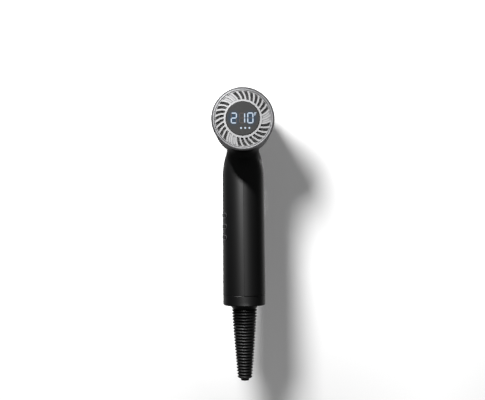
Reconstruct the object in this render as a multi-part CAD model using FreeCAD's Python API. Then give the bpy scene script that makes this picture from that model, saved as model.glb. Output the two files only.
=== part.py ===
import FreeCAD
import Part
import math
import os

# Hand-held high-speed hair dryer, in millimetres.
# The origin is the centre of the air outlet's front plane. +Y is the way the air blows, +Z is up
# and the handle hangs down along -Z. Seen from the intake end, +X is to the right.

# Head: bezel, barrel and outlet ring
HEAD_LENGTH = 96.0
BARREL_R = 31.5
WALL = 2.0
BEZEL_STEP = 0.5
BEZEL_DEPTH = 4.5
BEZEL_FACE = 3.0
BEZEL_ROUND = 2.4
BEZEL_SPIGOT = 4.4
BEZEL_SPIGOT_WALL = 1.1
OUTLET_DEPTH = 5.0
OUTLET_LIP = 6.5
OUTLET_ROUND = 2.0
OUTLET_SPIGOT = 9.0
OUTLET_SPIGOT_WALL = 1.1
SEAT_DEPTH = 4.2

# Neck, handle and end cap
HANDLE_SETBACK = 42.0
HANDLE_TOP_R = 21.7
HANDLE_BOTTOM_R = 22.2
NECK_LENGTH = 26.5
SHOULDER_R = 74.0
NECK_FILLET = 6.5
GRIP_LENGTH = 122.7
CAP_LENGTH = 10.6
CAP_FLOOR = 3.0
CAP_ROUND = 1.2
CAP_SPIGOT = 6.0
CAP_SPIGOT_WALL = 1.2
CAP_BOSS_TOP_R = 15.0
CAP_BOSS_END_R = 12.2
CAP_BOSS_LENGTH = 4.1
PARTING_WIDTH = 0.3
PARTING_DEPTH = 0.25
SEAM_GAP = 0.2
EDGE_BREAK = 0.3
PIN_R = 1.2
PIN_REACH = 3.5
PIN_SOCKET_R = 2.2
PIN_SOCKET_DEPTH = 5.0

# Display and intake
LENS_R = 16.8
LENS_PROUD = 0.8
LENS_THICK = 1.6
LENS_ROUND = 0.4
LENS_GROOVE = 0.5
POD_WALL = 1.4
POD_FLOOR = 1.5
NOSE_END_R = 6.0
NOSE_ROUND = 1.5
GRILLE_DOME = 1.3
GRILLE_THICK = 2.0
GRILLE_INNER_BAND = 2.0
GRILLE_OUTER_BAND = 0.75
SKIRT_WALL = 1.1
SLOT_COUNT = 30
SLOT_WIDTH_DEG = 7.4
SLOT_SWEEP_DEG = 9.5
SLOT_CURVE = 1.29
SLOT_START_DEG = 3.2
PAD_COUNT = 3
PAD_WIDTH_DEG = 21.6
PAD_SINK = 1.0
PAD_BITE = 0.5
MESH_SETBACK = 4.0
MESH_THICK = 0.4
MESH_HOLE_R = 0.75
MESH_PITCH = 2.5
FRAME_THICK = 3.0
FRAME_RING = 1.5
SPOKE_WIDTH = 7.6
MAGNET_R = 1.7
MAGNET_THICK = 1.4

# Figures on the display, as drawn for a lens of FIGURE_LENS_R and scaled with the lens
FIGURE_LENS_R = 16.8
DIGIT_WIDTH = 6.2
DIGIT_HEIGHT = 10.9
DIGIT_PITCH = 8.3
DIGIT_STROKE = 1.05
DIGIT_SHIFT = -0.75
DIGIT_RISE = 0.5
DIGIT_GAP = 0.22
MARK_GAP = 1.1
MARK_WIDTH = 1.9
MARK_HEIGHT = 3.2
MARK_STROKE = 0.5
DOT_COUNT = 3
DOT_R = 0.9
DOT_PITCH = 4.2
DOT_DROP = 9.5
DOT_SHIFT = 2.3

# Motor and fan
MOTOR_SETBACK = 8.0
MOTOR_R = 21.6
SHROUD_WALL = 1.6
HUB_R = 11.8
HUB_WALL = 1.4
HUB_ROUND = 0.5
VANE_COUNT = 9
VANE_THICK = 1.0
VANE_ROOT_DEG = -12.0
VANE_TIP_DEG = -20.0
IMPELLER_LENGTH = 10.0
BLADE_COUNT = 11
BLADE_THICK = 0.9
BLADE_SETBACK = 0.6
BLADE_ROOT_DEG = 25.0
BLADE_TIP_DEG = 52.0
SHAFT_R = 1.5
BEARING_R = 4.5
BEARING_WIDTH = 2.5
STATOR_LENGTH = 10.0
STATOR_TIP_R = 5.6
STATOR_BACK = 2.0
TOOTH_WIDTH = 3.2
TOOTH_BITE = 0.5
COIL_DEPTH = 1.3
COIL_END_GAP = 0.5
ROTOR_R = 4.9
BOARD_THICK = 1.2
TAIL_LENGTH = 5.0
MOUNT_SLEEVE = 1.3
MOUNT_FLANGE = 3.0

# Heater and outlet
LINER_WALL = 1.2
LINER_FLANGE = 1.6
MICA_THICK = 0.8
MICA_ARMS = 3
COIL_WIRE_R = 0.6
COIL_PITCH = 3.2
COIL_INSET = 5.4
CUTOUT_R = 5.6
CUTOUT_LENGTH = 6.0
OUTLET_GRILLE_THICK = 1.4
HEX_FLAT = 4.0
HEX_WEB = 0.9
OUTLET_MAGNETS = 6
OUTLET_MAGNET_DEG = 40.0
EMITTER_R = 1.2
EMITTER_LENGTH = 3.0
EMITTER_OFFSET = 12.0
EMITTER_TIP = 1.0
EMITTER_TIP_R = 0.3

# Buttons on the left of the handle
BUTTON_COUNT = 3
BUTTON_DROP = 39.8
BUTTON_PITCH = 11.45
BUTTON_TURN_DEG = 16.0
BUTTON_WIDTH = 13.4
BUTTON_HEIGHT = 3.7
BUTTON_GAP = 0.3
BUTTON_PROUD = 0.35
BUTTON_TRAVEL = 0.8
BUTTON_FLANGE = 1.0
BUTTON_FLANGE_LIP = 0.9
STEM_R = 1.6
TRIM_WALL = 0.45
TRIM_PROUD = 0.2
SWITCH_SIZE = 6.0
SWITCH_HEIGHT = 3.2

# Electronics in the handle
CHASSIS_OFFSET = 5.0
CHASSIS_THICK = 2.0
CONTROL_BOARD_THICK = 1.6
CONTROL_BOARD_LEFT = -9.0
CONTROL_BOARD_RIGHT = 15.0
STANDOFF_R = 2.2
STANDOFF_HEIGHT = 2.0
CAPACITOR_R = 5.0
CAPACITOR_LENGTH = 18.0
CAPACITOR_ROUND = 0.6
CHOKE_R = 5.5
CHOKE_WIRE_R = 2.4
SINK_FINS = 5
SINK_WIDTH = 16.0
SINK_HEIGHT = 20.0
SINK_DEPTH = 9.0
SINK_BASE = 2.0
FIN_THICK = 1.5
TRIAC_WIDTH = 10.0
TRIAC_HEIGHT = 9.0
TRIAC_DEPTH = 4.5
GENERATOR_WIDTH = 14.0
GENERATOR_HEIGHT = 24.0
GENERATOR_DEPTH = 8.0
GENERATOR_ROUND = 1.0
BLOCK_WIDTH = 10.0
BLOCK_GAP = 1.0
BLOCK_HEIGHT = 9.0
BLOCK_DEPTH = 8.0
BLOCK_SCREW_R = 1.6
BLOCK_WIRE_R = 1.2
BOARD_MARGIN = 2.0
BOARD_SIDE_MARGIN = 0.5
LEAD_R = 0.7
LEAD_BEND = 8.0
MOTOR_LEAD_PITCH = 2.4
HEATER_LEAD_OFFSET = 6.0

# Strain relief
RIB_COUNT = 23
RIB_PITCH = 3.15
RIB_TOP_R = 13.0
RIB_END_R = 7.7
RIB_CURVE = 1.2
RIB_DEPTH = 1.7
RIB_FLAT = 0.9
RIB_ROUND = 0.75
WINDOW_HEIGHT = 1.0
WINDOW_SHARE = 0.55
CORD_R = 3.3
RELIEF_WALL = 0.9
RELIEF_NECK_R = 8.4
RELIEF_FLANGE_R = 9.8
RELIEF_FLANGE = 2.4
RELIEF_NUB = 2.4

# Fasteners
SCREW_R = 1.2
SCREW_HEAD_R = 2.1
SCREW_HEAD = 1.4
SCREW_SINK = 0.2
SCREW_RECESS_R = 0.7
BOSS_WALL = 1.4
BOSS_RIB = 2.4
CLAMP_HEIGHT = 4.0
CLAMP_DEPTH = 4.0
CLAMP_GAP = 0.3
CLAMP_RISE = 2.8
CLAMP_POST = 4.4
CLAMP_POST_DEPTH = 3.0

# Clearances
RUN_GAP = 0.4
FIT_GAP = 0.15
TIGHT_GAP = 0.03
GLUE_GAP = 0.05

# Stations along the head, from the intake end to the outlet
REAR_Y = -HEAD_LENGTH
HANDLE_Y = REAR_Y + HANDLE_SETBACK
SHELL_REAR_Y = REAR_Y + BEZEL_DEPTH
SHELL_FRONT_Y = -OUTLET_DEPTH
LENS_FACE_Y = REAR_Y - LENS_PROUD
LENS_BACK_Y = LENS_FACE_Y + LENS_THICK
MESH_Y = REAR_Y + MESH_SETBACK
COVER_CLEAR_Y = LENS_FACE_Y - 5.0
SKIRT_END_Y = MESH_Y + MESH_THICK + RUN_GAP
FRAME_REAR_Y = SKIRT_END_Y + RUN_GAP
FRAME_FRONT_Y = FRAME_REAR_Y + FRAME_THICK
POD_FRONT_Y = FRAME_FRONT_Y + POD_FLOOR
MOTOR_REAR_Y = FRAME_FRONT_Y + MOTOR_SETBACK
IMPELLER_REAR_Y = MOTOR_REAR_Y + 3 * RUN_GAP
IMPELLER_FRONT_Y = IMPELLER_REAR_Y + IMPELLER_LENGTH
WEB_REAR_Y = IMPELLER_FRONT_Y + 2 * RUN_GAP
STATOR_REAR_Y = WEB_REAR_Y + BEARING_WIDTH + COIL_DEPTH + RUN_GAP
STATOR_FRONT_Y = STATOR_REAR_Y + STATOR_LENGTH
PLATE_REAR_Y = STATOR_FRONT_Y + COIL_DEPTH + RUN_GAP
PLATE_FRONT_Y = PLATE_REAR_Y + BEARING_WIDTH
TAIL_REAR_Y = PLATE_FRONT_Y + BOARD_THICK
TAIL_FRONT_Y = TAIL_REAR_Y + TAIL_LENGTH
SHROUD_FRONT_Y = PLATE_REAR_Y + 2 * RUN_GAP
LEAD_Y = SHROUD_FRONT_Y + LEAD_R + 1.0
LINER_REAR_Y = LEAD_Y + LEAD_R + 0.8
MOUNT_REAR_Y = MOTOR_REAR_Y + 4.0
MOUNT_FRONT_Y = SHROUD_FRONT_Y - 1.0
GRILLE_BACK_Y = -SEAT_DEPTH - OUTLET_GRILLE_THICK
MICA_REAR_Y = TAIL_FRONT_Y + 1.0
MICA_FRONT_Y = GRILLE_BACK_Y - EMITTER_LENGTH - 2.0

# Radii about the head's axis
BORE_R = BARREL_R - WALL
BEZEL_R = BARREL_R + BEZEL_STEP
BEZEL_IN_R = BEZEL_R - BEZEL_FACE
BEZEL_SPIGOT_R = BEZEL_IN_R + BEZEL_SPIGOT_WALL
GRILLE_IN_R = LENS_R + LENS_GROOVE
GRILLE_OUT_R = BEZEL_IN_R - RUN_GAP
SLOT_IN_R = GRILLE_IN_R + GRILLE_INNER_BAND
SLOT_OUT_R = GRILLE_OUT_R - GRILLE_OUTER_BAND
POD_R = LENS_R - 0.2
FRAME_R = BEZEL_IN_R - FIT_GAP
SPOKE_SCREW_R = FRAME_R - FRAME_RING - SCREW_HEAD_R
MAGNET_CENTRE_R = SLOT_IN_R + MAGNET_R
SHROUD_IN_R = MOTOR_R - SHROUD_WALL
IMPELLER_R = SHROUD_IN_R - RUN_GAP
HUB_IN_R = HUB_R - HUB_WALL
STATOR_R = HUB_IN_R - GLUE_GAP
SEAT_R = BARREL_R - OUTLET_LIP
OUTLET_SPIGOT_R = BORE_R - FIT_GAP
OUTLET_BORE_R = OUTLET_SPIGOT_R - OUTLET_SPIGOT_WALL
LINER_R = SEAT_R + LINER_WALL
COIL_R = SEAT_R - COIL_INSET

# Heights along the handle
SHOULDER_Z = -(BARREL_R + NECK_LENGTH)
HANDLE_END_Z = SHOULDER_Z - GRIP_LENGTH
CAP_TOP_Z = HANDLE_END_Z - SEAM_GAP
CAP_BOTTOM_Z = CAP_TOP_Z - CAP_LENGTH
CAP_FLOOR_Z = CAP_BOTTOM_Z + CAP_FLOOR
CAP_BOSS_END_Z = CAP_BOTTOM_Z - CAP_BOSS_LENGTH
CAP_SPIGOT_Z = CAP_TOP_Z + CAP_SPIGOT
CAP_SPIGOT_R = HANDLE_BOTTOM_R - WALL - FIT_GAP
CAP_SCREW_X = CAP_SPIGOT_R - CAP_SPIGOT_WALL - SCREW_R - 2 * FIT_GAP
CAP_BOSS_Z = CAP_SPIGOT_Z + 0.5
CAP_BOSS_HEIGHT = 12.0
CHASSIS_TOP_Z = SHOULDER_Z - 8.0
CHASSIS_END_Z = CAP_SPIGOT_Z + 4.0
BOARD_TOP_Z = SHOULDER_Z - 10.0
BOARD_END_Z = CAP_BOSS_Z + CAP_BOSS_HEIGHT + 5.0
RELIEF_START_Z = CAP_BOSS_END_Z
RELIEF_END_Z = RELIEF_START_Z - RIB_COUNT * RIB_PITCH

# Depths inside the handle, along the buttons' own direction
SWITCH_BASE = 12.4
SWITCH_TOP = SWITCH_BASE + SWITCH_HEIGHT
FLANGE_BASE = SWITCH_TOP + BUTTON_TRAVEL + 0.2
FLANGE_TOP = FLANGE_BASE + BUTTON_FLANGE
STEM_TIP = SWITCH_TOP - RUN_GAP
CONTROL_REAR_Y = HANDLE_Y + CHASSIS_OFFSET - STANDOFF_HEIGHT - CONTROL_BOARD_THICK


def V(x, y, z):
    return FreeCAD.Vector(x, y, z)


AXIS_X = V(1, 0, 0)
AXIS_Y = V(0, 1, 0)
AXIS_Z = V(0, 0, 1)
ORIGIN = V(0, 0, 0)
HANDLE_AXIS = V(0, HANDLE_Y, 0)


def save(name, *solids):
    """Write one node: a single solid, or a group of separate solids."""
    shape = solids[0] if len(solids) == 1 else Part.makeCompound(list(solids))
    shape.exportStep("parts/" + name + ".step")


def outline(corners, place):
    """A closed wire through (a, b) or (a, b, rounding) corners, put in space by place(a, b)."""
    legs = []
    for index, corner in enumerate(corners):
        here = V(corner[0], corner[1], 0)
        if len(corner) == 2:
            legs.append((here, here, here))
            continue
        before = corners[index - 1]
        after = corners[(index + 1) % len(corners)]
        back = (V(before[0], before[1], 0) - here).normalize()
        ahead = (V(after[0], after[1], 0) - here).normalize()
        half = back.getAngle(ahead) / 2
        reach = corner[2] / math.tan(half)
        inward = (back + ahead).normalize()
        middle = here + inward * (corner[2] / math.sin(half) - corner[2])
        legs.append((here + back * reach, middle, here + ahead * reach))
    edges = []
    for index, (start, middle, end) in enumerate(legs):
        following = legs[(index + 1) % len(legs)][0]
        if (end - start).Length > 1e-6:
            arc = Part.Arc(place(start.x, start.y), place(middle.x, middle.y), place(end.x, end.y))
            edges.append(arc.toShape())
        if (following - end).Length > 1e-6:
            line = Part.LineSegment(place(end.x, end.y), place(following.x, following.y))
            edges.append(line.toShape())
    return Part.Wire(edges)


def spin_head(corners, angle=360):
    """Turn an outline of (radius, y) corners about the head's axis."""
    face = Part.Face(outline(corners, lambda r, y: V(r, y, 0)))
    return face.revolve(ORIGIN, AXIS_Y, angle)


def spin_handle(corners):
    """Turn an outline of (radius, z) corners about the handle's axis."""
    face = Part.Face(outline(corners, lambda r, z: V(r, HANDLE_Y, z)))
    return face.revolve(HANDLE_AXIS, AXIS_Z, 360)


def tube_y(outer, inner, start, end):
    return spin_head([(inner, start), (outer, start), (outer, end), (inner, end)])


def rod_y(radius, start, end, x=0, z=0):
    return Part.makeCylinder(radius, end - start, V(x, start, z), AXIS_Y)


def rod_z(radius, start, end, x=0):
    """An upright round bar on the handle's middle plane."""
    return Part.makeCylinder(radius, end - start, V(x, HANDLE_Y, start), AXIS_Z)


def box(x0, x1, y0, y1, z0, z1):
    return Part.makeBox(x1 - x0, y1 - y0, z1 - z0, V(x0, y0, z0))


def handle_box(x0, x1, y0, y1, z0, z1):
    """A box whose y is measured from the handle's axis."""
    return box(x0, x1, HANDLE_Y + y0, HANDLE_Y + y1, z0, z1)


def turned(shape, degrees):
    """A copy turned about the head's axis, anticlockwise as seen from the intake end."""
    copy = shape.copy()
    copy.rotate(ORIGIN, V(0, -1, 0), degrees)
    return copy


def on_ring(radius, degrees):
    """The x and z of a point on a circle about the head's axis."""
    angle = math.radians(degrees)
    return radius * math.cos(angle), radius * math.sin(angle)


def wire_section(edge, radius):
    """A round section square to the start of an edge."""
    start = edge.FirstParameter
    return Part.Wire(Part.makeCircle(radius, edge.valueAt(start), edge.tangentAt(start)))


def wire_tube(points, radius, bend):
    """A round wire along straight runs joined by tangent arcs in the YZ plane."""
    x = points[0][0]
    runs = [(points[0][1], points[0][2])]
    runs += [(p[1], p[2], bend) for p in points[1:-1]]
    runs.append((points[-1][1], points[-1][2]))
    closed = outline(runs, lambda y, z: V(x, y, z))
    path = Part.Wire(closed.OrderedEdges[:-1])
    return path.makePipeShell([wire_section(path.OrderedEdges[0], radius)], True, False)


# Housing: two moulded halves that meet at x = 0


def handle_radius(z, inset=0):
    """Handle and neck radius at a height, for a surface offset inwards."""
    if z > SHOULDER_Z:
        rise = z - SHOULDER_Z
        return HANDLE_TOP_R - SHOULDER_R + math.sqrt((SHOULDER_R - inset) ** 2 - rise ** 2)
    share = (SHOULDER_Z - z) / GRIP_LENGTH
    return HANDLE_TOP_R + (HANDLE_BOTTOM_R - HANDLE_TOP_R) * share - inset


def handle_form(inset, end_z):
    """The handle and its narrowing neck, up into the barrel."""
    top_z = -BARREL_R / 2
    middle_z = (SHOULDER_Z + top_z) / 2
    end = V(handle_radius(end_z, inset), HANDLE_Y, end_z)
    shoulder = V(handle_radius(SHOULDER_Z, inset), HANDLE_Y, SHOULDER_Z)
    middle = V(handle_radius(middle_z, inset), HANDLE_Y, middle_z)
    top = V(handle_radius(top_z, inset), HANDLE_Y, top_z)
    top_axis = V(0, HANDLE_Y, top_z)
    end_axis = V(0, HANDLE_Y, end_z)
    edges = [
        Part.LineSegment(end_axis, end).toShape(),
        Part.LineSegment(end, shoulder).toShape(),
        Part.Arc(shoulder, middle, top).toShape(),
        Part.LineSegment(top, top_axis).toShape(),
        Part.LineSegment(top_axis, end_axis).toShape(),
    ]
    return Part.Face(Part.Wire(edges)).revolve(HANDLE_AXIS, AXIS_Z, 360)


def housing_form(inset):
    """The outer form of barrel, filleted neck and handle, offset inwards."""
    barrel = rod_y(BARREL_R - inset, SHELL_REAR_Y, SHELL_FRONT_Y)
    joined = barrel.fuse(handle_form(inset, HANDLE_END_Z))
    meeting = [e for e in joined.Edges if not isinstance(e.Curve, (Part.Circle, Part.Line))]
    return joined.makeFillet(NECK_FILLET + inset, meeting)


def spoke_angles():
    """Directions of the three spokes, which lie behind the blind pairs of slots."""
    pitch = 360 / SLOT_COUNT
    first = SLOT_START_DEG - pitch / 2
    return [first + i * 360 / PAD_COUNT for i in range(PAD_COUNT)]


def frame_screw_bosses():
    """Posts inside the barrel that take the display frame's screws, each on a rib from the wall."""
    post_end = MOTOR_REAR_Y - RUN_GAP
    posts = []
    for angle in spoke_angles():
        x, z = on_ring(SPOKE_SCREW_R, angle)
        post = rod_y(SCREW_R + BOSS_WALL, FRAME_FRONT_Y, post_end, x, z)
        half = BOSS_RIB / 2
        rib_start = FRAME_FRONT_Y + BEZEL_SPIGOT
        rib = box(SPOKE_SCREW_R, BORE_R + WALL / 2, rib_start, post_end, -half, half)
        hole = rod_y(SCREW_R + TIGHT_GAP, FRAME_FRONT_Y - 1, post_end - 1, x, z)
        posts.append(post.fuse(turned(rib, angle)).cut(hole))
    return posts


def cap_screw_bosses():
    """Posts in the foot of the handle that take the end cap's screws."""
    posts = []
    for side in (-1, 1):
        centre = V(side * CAP_SCREW_X, HANDLE_Y, CAP_BOSS_Z)
        post = Part.makeCylinder(SCREW_R + BOSS_WALL, CAP_BOSS_HEIGHT, centre, AXIS_Z)
        wall_x = side * (HANDLE_BOTTOM_R - WALL / 2)
        left, right = sorted((side * CAP_SCREW_X, wall_x))
        half = BOSS_RIB / 2
        rib = handle_box(left, right, -half, half, CAP_BOSS_Z, CAP_BOSS_Z + CAP_BOSS_HEIGHT)
        hole = Part.makeCylinder(SCREW_R + TIGHT_GAP, CAP_BOSS_HEIGHT, centre - V(0, 0, 1), AXIS_Z)
        posts.append(post.fuse(rib).cut(hole))
    return posts


def locating_places():
    """Where pins line up the two halves, along the front and back of the handle."""
    reach = HANDLE_TOP_R - WALL - PIN_SOCKET_R + EDGE_BREAK
    heights = (SHOULDER_Z - 6, (SHOULDER_Z + HANDLE_END_Z) / 2, HANDLE_END_Z + 30)
    return [(side * reach, z) for side in (-1, 1) for z in heights]


def housing_halves():
    cavity = rod_y(BORE_R, SHELL_REAR_Y - 1, SHELL_FRONT_Y + 1)
    cavity = cavity.fuse(handle_form(WALL, HANDLE_END_Z - 1))
    spigot_seat = rod_y(BEZEL_SPIGOT_R + FIT_GAP, SHELL_REAR_Y - 1, SHELL_REAR_Y + BEZEL_SPIGOT)
    outer = housing_form(0)
    rims = [e for e in outer.Edges if isinstance(e.Curve, Part.Circle) and at_rim(e)]
    outer = outer.makeChamfer(EDGE_BREAK, rims)
    width = PARTING_WIDTH / 2
    slab = box(-width, width, REAR_Y, 0, CAP_BOTTOM_Z, BARREL_R + 1)
    groove = outer.cut(housing_form(PARTING_DEPTH)).common(slab)
    shell = outer.cut(cavity).cut(spigot_seat).cut(groove)
    for post in frame_screw_bosses() + cap_screw_bosses():
        shell = shell.fuse(post)
    far = 2 * BARREL_R + HANDLE_BOTTOM_R
    halves = []
    for start, end in ((-far, 0), (0, far)):
        half = shell.common(box(start, end, REAR_Y, 0, CAP_BOTTOM_Z, far))
        halves.append(half)
    left, right = halves
    for y, z in locating_places():
        centre = V(0, HANDLE_Y + y, z)
        socket = Part.makeCylinder(PIN_SOCKET_R, PIN_SOCKET_DEPTH, centre, -AXIS_X)
        hole = Part.makeCylinder(PIN_R + FIT_GAP, PIN_REACH + RUN_GAP, centre, -AXIS_X)
        base = Part.makeCylinder(PIN_SOCKET_R, PIN_SOCKET_DEPTH, centre, AXIS_X)
        pin = Part.makeCylinder(PIN_R, PIN_REACH + PIN_R, centre + AXIS_X * PIN_R, -AXIS_X)
        left = left.fuse(socket).cut(hole)
        right = right.fuse(base).fuse(pin)
    for z in button_heights():
        window = pill(BUTTON_WIDTH + 2 * trim_reach(), BUTTON_HEIGHT + 2 * trim_reach(), 0, far)
        left = left.cut(at_button(window, z))
    save("housing_left", left.Solids[0])
    save("housing_right", right.Solids[0])


def at_rim(edge):
    """Whether a round edge is one of the housing's three open ends."""
    box_of = edge.BoundBox
    flat_y = box_of.YLength < 1e-3 and abs(box_of.XLength - 2 * BARREL_R) < 1
    flat_z = box_of.ZLength < 1e-3 and abs(box_of.ZMax - HANDLE_END_Z) < 1e-3
    return flat_y or flat_z


# Intake bezel and the cover that pulls off it


def intake_bezel():
    spigot_end = SHELL_REAR_Y + BEZEL_SPIGOT - FIT_GAP
    save("intake_bezel", spin_head([
        (BEZEL_IN_R, REAR_Y, EDGE_BREAK),
        (BEZEL_R, REAR_Y, BEZEL_ROUND),
        (BEZEL_R, SHELL_REAR_Y - SEAM_GAP, EDGE_BREAK),
        (BEZEL_SPIGOT_R, SHELL_REAR_Y - SEAM_GAP),
        (BEZEL_SPIGOT_R, spigot_end),
        (BEZEL_IN_R, spigot_end),
    ]))


def swept_edge(degrees, inner, outer):
    """Three points of a curved slot side: its start, middle and end."""
    points = []
    for step in (0, 0.5, 1):
        radius = inner + (outer - inner) * step
        x, z = on_ring(radius, degrees + SLOT_SWEEP_DEG * step ** SLOT_CURVE)
        points.append(V(x, 0, z))
    return points


def slot_prism(degrees, width, inner, outer, start, end):
    """A curved slot that sweeps anticlockwise on its way out, cut along the head's axis."""
    low = swept_edge(degrees - width / 2, inner, outer)
    high = swept_edge(degrees + width / 2, inner, outer)
    root_x, root_z = on_ring(inner, degrees)
    tip_x, tip_z = on_ring(outer, degrees + SLOT_SWEEP_DEG)
    root = V(root_x, 0, root_z)
    tip = V(tip_x, 0, tip_z)
    wire = Part.Wire([
        Part.Arc(low[0], low[1], low[2]).toShape(),
        Part.Arc(low[2], tip, high[2]).toShape(),
        Part.Arc(high[2], high[1], high[0]).toShape(),
        Part.Arc(high[0], root, low[0]).toShape(),
    ])
    face = Part.Face(wire)
    face.translate(V(0, start, 0))
    return face.extrude(V(0, end - start, 0))


def grille_face_y(radius):
    """Height of the grille's slightly domed rear face."""
    share = (radius - GRILLE_IN_R) / (GRILLE_OUT_R - GRILLE_IN_R)
    return REAR_Y - LENS_PROUD / 2 + GRILLE_DOME * share


def intake_cover():
    """Domed louvre plate with 30 curved slots, its dust mesh and its three holding magnets."""
    rib_in = GRILLE_IN_R + SKIRT_WALL
    rib_out = GRILLE_OUT_R - SKIRT_WALL
    plate = spin_head([
        (GRILLE_IN_R, grille_face_y(GRILLE_IN_R), EDGE_BREAK),
        (GRILLE_OUT_R, grille_face_y(GRILLE_OUT_R), EDGE_BREAK),
        (GRILLE_OUT_R, SKIRT_END_Y),
        (rib_out, SKIRT_END_Y),
        (rib_out, grille_face_y(rib_out) + GRILLE_THICK),
        (rib_in, grille_face_y(rib_in) + GRILLE_THICK),
        (rib_in, MESH_Y),
        (GRILLE_IN_R, MESH_Y),
    ])
    pitch = 360 / SLOT_COUNT
    slots = []
    slot_end = MESH_Y - TIGHT_GAP
    for i in range(SLOT_COUNT):
        angle = SLOT_START_DEG + i * pitch
        slots.append(slot_prism(angle, SLOT_WIDTH_DEG, SLOT_IN_R, SLOT_OUT_R, COVER_CLEAR_Y, slot_end))
    plate = plate.cut(Part.makeCompound(slots))
    pad_in = rib_in - PAD_BITE
    pad_out = rib_out + PAD_BITE
    under = spin_head([
        (pad_in, grille_face_y(rib_in) + PAD_SINK),
        (pad_out, grille_face_y(rib_out) + PAD_SINK),
        (pad_out, MESH_Y),
        (pad_in, MESH_Y),
    ])
    magnets = []
    for angle in spoke_angles():
        pad = slot_prism(angle, PAD_WIDTH_DEG, pad_in, pad_out, COVER_CLEAR_Y, MESH_Y)
        x, z = on_ring(MAGNET_CENTRE_R, angle)
        start = MESH_Y - MAGNET_THICK
        pocket = rod_y(MAGNET_R + GLUE_GAP, start - GLUE_GAP, MESH_Y + 1, x, z)
        plate = plate.fuse(pad.common(under)).cut(pocket)
        magnets.append(rod_y(MAGNET_R, start, MESH_Y, x, z))
    save("intake_grille", plate.Solids[0])
    save("cover_magnets", *magnets)
    save("intake_mesh", perforated_ring(GRILLE_IN_R, rib_out - FIT_GAP))


def perforated_ring(inner, outer):
    """Flat dust screen: rows of round holes in a thin ring."""
    margin = MESH_HOLE_R + 1.6
    rows = int((outer - inner - 2 * margin) / MESH_PITCH)
    step = (outer - inner - 2 * margin) / rows
    wires = [Part.Wire(Part.makeCircle(outer, V(0, MESH_Y, 0), AXIS_Y))]
    wires.append(Part.Wire(Part.makeCircle(inner, V(0, MESH_Y, 0), AXIS_Y)))
    for row in range(rows + 1):
        radius = inner + margin + row * step
        count = int(2 * math.pi * radius / MESH_PITCH)
        for i in range(count):
            x, z = on_ring(radius, 360 * (i + 0.5 * (row % 2)) / count)
            wires.append(Part.Wire(Part.makeCircle(MESH_HOLE_R, V(x, MESH_Y, z), AXIS_Y)))
    sheet = Part.makeFace(wires, "Part::FaceMakerBullseye")
    return sheet.extrude(V(0, MESH_THICK, 0)).Solids[0]


# Display pod, carried on three spokes inside the bezel


def display_frame():
    step_r = POD_R - 2 * POD_WALL
    board_y = LENS_BACK_Y + LENS_THICK
    pod = spin_head([
        (0, FRAME_FRONT_Y),
        (step_r, FRAME_FRONT_Y),
        (step_r, board_y + BOARD_THICK),
        (POD_R - POD_WALL, board_y + BOARD_THICK),
        (POD_R - POD_WALL, LENS_BACK_Y),
        (POD_R, LENS_BACK_Y),
        (POD_R, POD_FRONT_Y),
        (0, POD_FRONT_Y),
    ])
    frame = pod.fuse(tube_y(FRAME_R, FRAME_R - FRAME_RING, FRAME_REAR_Y, FRAME_FRONT_Y))
    magnets = []
    screws = []
    half = SPOKE_WIDTH / 2
    spoke_in = POD_R - POD_WALL / 2
    spoke_out = FRAME_R - FRAME_RING / 2
    for angle in spoke_angles():
        spoke = box(spoke_in, spoke_out, FRAME_REAR_Y, FRAME_FRONT_Y, -half, half)
        frame = frame.fuse(turned(spoke, angle))
        x, z = on_ring(MAGNET_CENTRE_R, angle)
        magnet_end = FRAME_REAR_Y + MAGNET_THICK
        frame = frame.cut(rod_y(MAGNET_R + GLUE_GAP, FRAME_REAR_Y - 1, magnet_end + GLUE_GAP, x, z))
        magnets.append(rod_y(MAGNET_R, FRAME_REAR_Y, magnet_end, x, z))
        x, z = on_ring(SPOKE_SCREW_R, angle)
        head_end = FRAME_REAR_Y + SCREW_HEAD
        frame = frame.cut(rod_y(SCREW_HEAD_R + FIT_GAP, FRAME_REAR_Y - 1, head_end, x, z))
        frame = frame.cut(rod_y(SCREW_R + FIT_GAP, FRAME_REAR_Y, FRAME_FRONT_Y + 1, x, z))
        head = rod_y(SCREW_HEAD_R, FRAME_REAR_Y, head_end, x, z)
        recess = rod_y(SCREW_RECESS_R, FRAME_REAR_Y - 1, FRAME_REAR_Y + SCREW_HEAD / 2, x, z)
        shank = rod_y(SCREW_R, head_end, MOTOR_REAR_Y - RUN_GAP - 2, x, z)
        screws.append(head.fuse(shank).cut(recess))
    save("display_frame", frame.Solids[0])
    save("frame_magnets", *magnets)
    save("frame_screws", *screws)
    save("display_board", rod_y(POD_R - POD_WALL - FIT_GAP, board_y, board_y + BOARD_THICK))
    nose_end = MOTOR_REAR_Y + RUN_GAP
    save("pod_nose", spin_head([
        (0, POD_FRONT_Y),
        (POD_R, POD_FRONT_Y),
        (POD_R - NOSE_ROUND, POD_FRONT_Y + NOSE_ROUND),
        (NOSE_END_R, nose_end, NOSE_ROUND),
        (0, nose_end),
    ]))


def bar(a0, a1, length, stroke):
    """Outline of one display bar lying along its own first axis, with pointed ends."""
    tip = stroke / 2
    return [
        (a0, a1),
        (a0 + tip, a1 - tip),
        (a0 + length - tip, a1 - tip),
        (a0 + length, a1),
        (a0 + length - tip, a1 + tip),
        (a0 + tip, a1 + tip),
    ]


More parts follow.
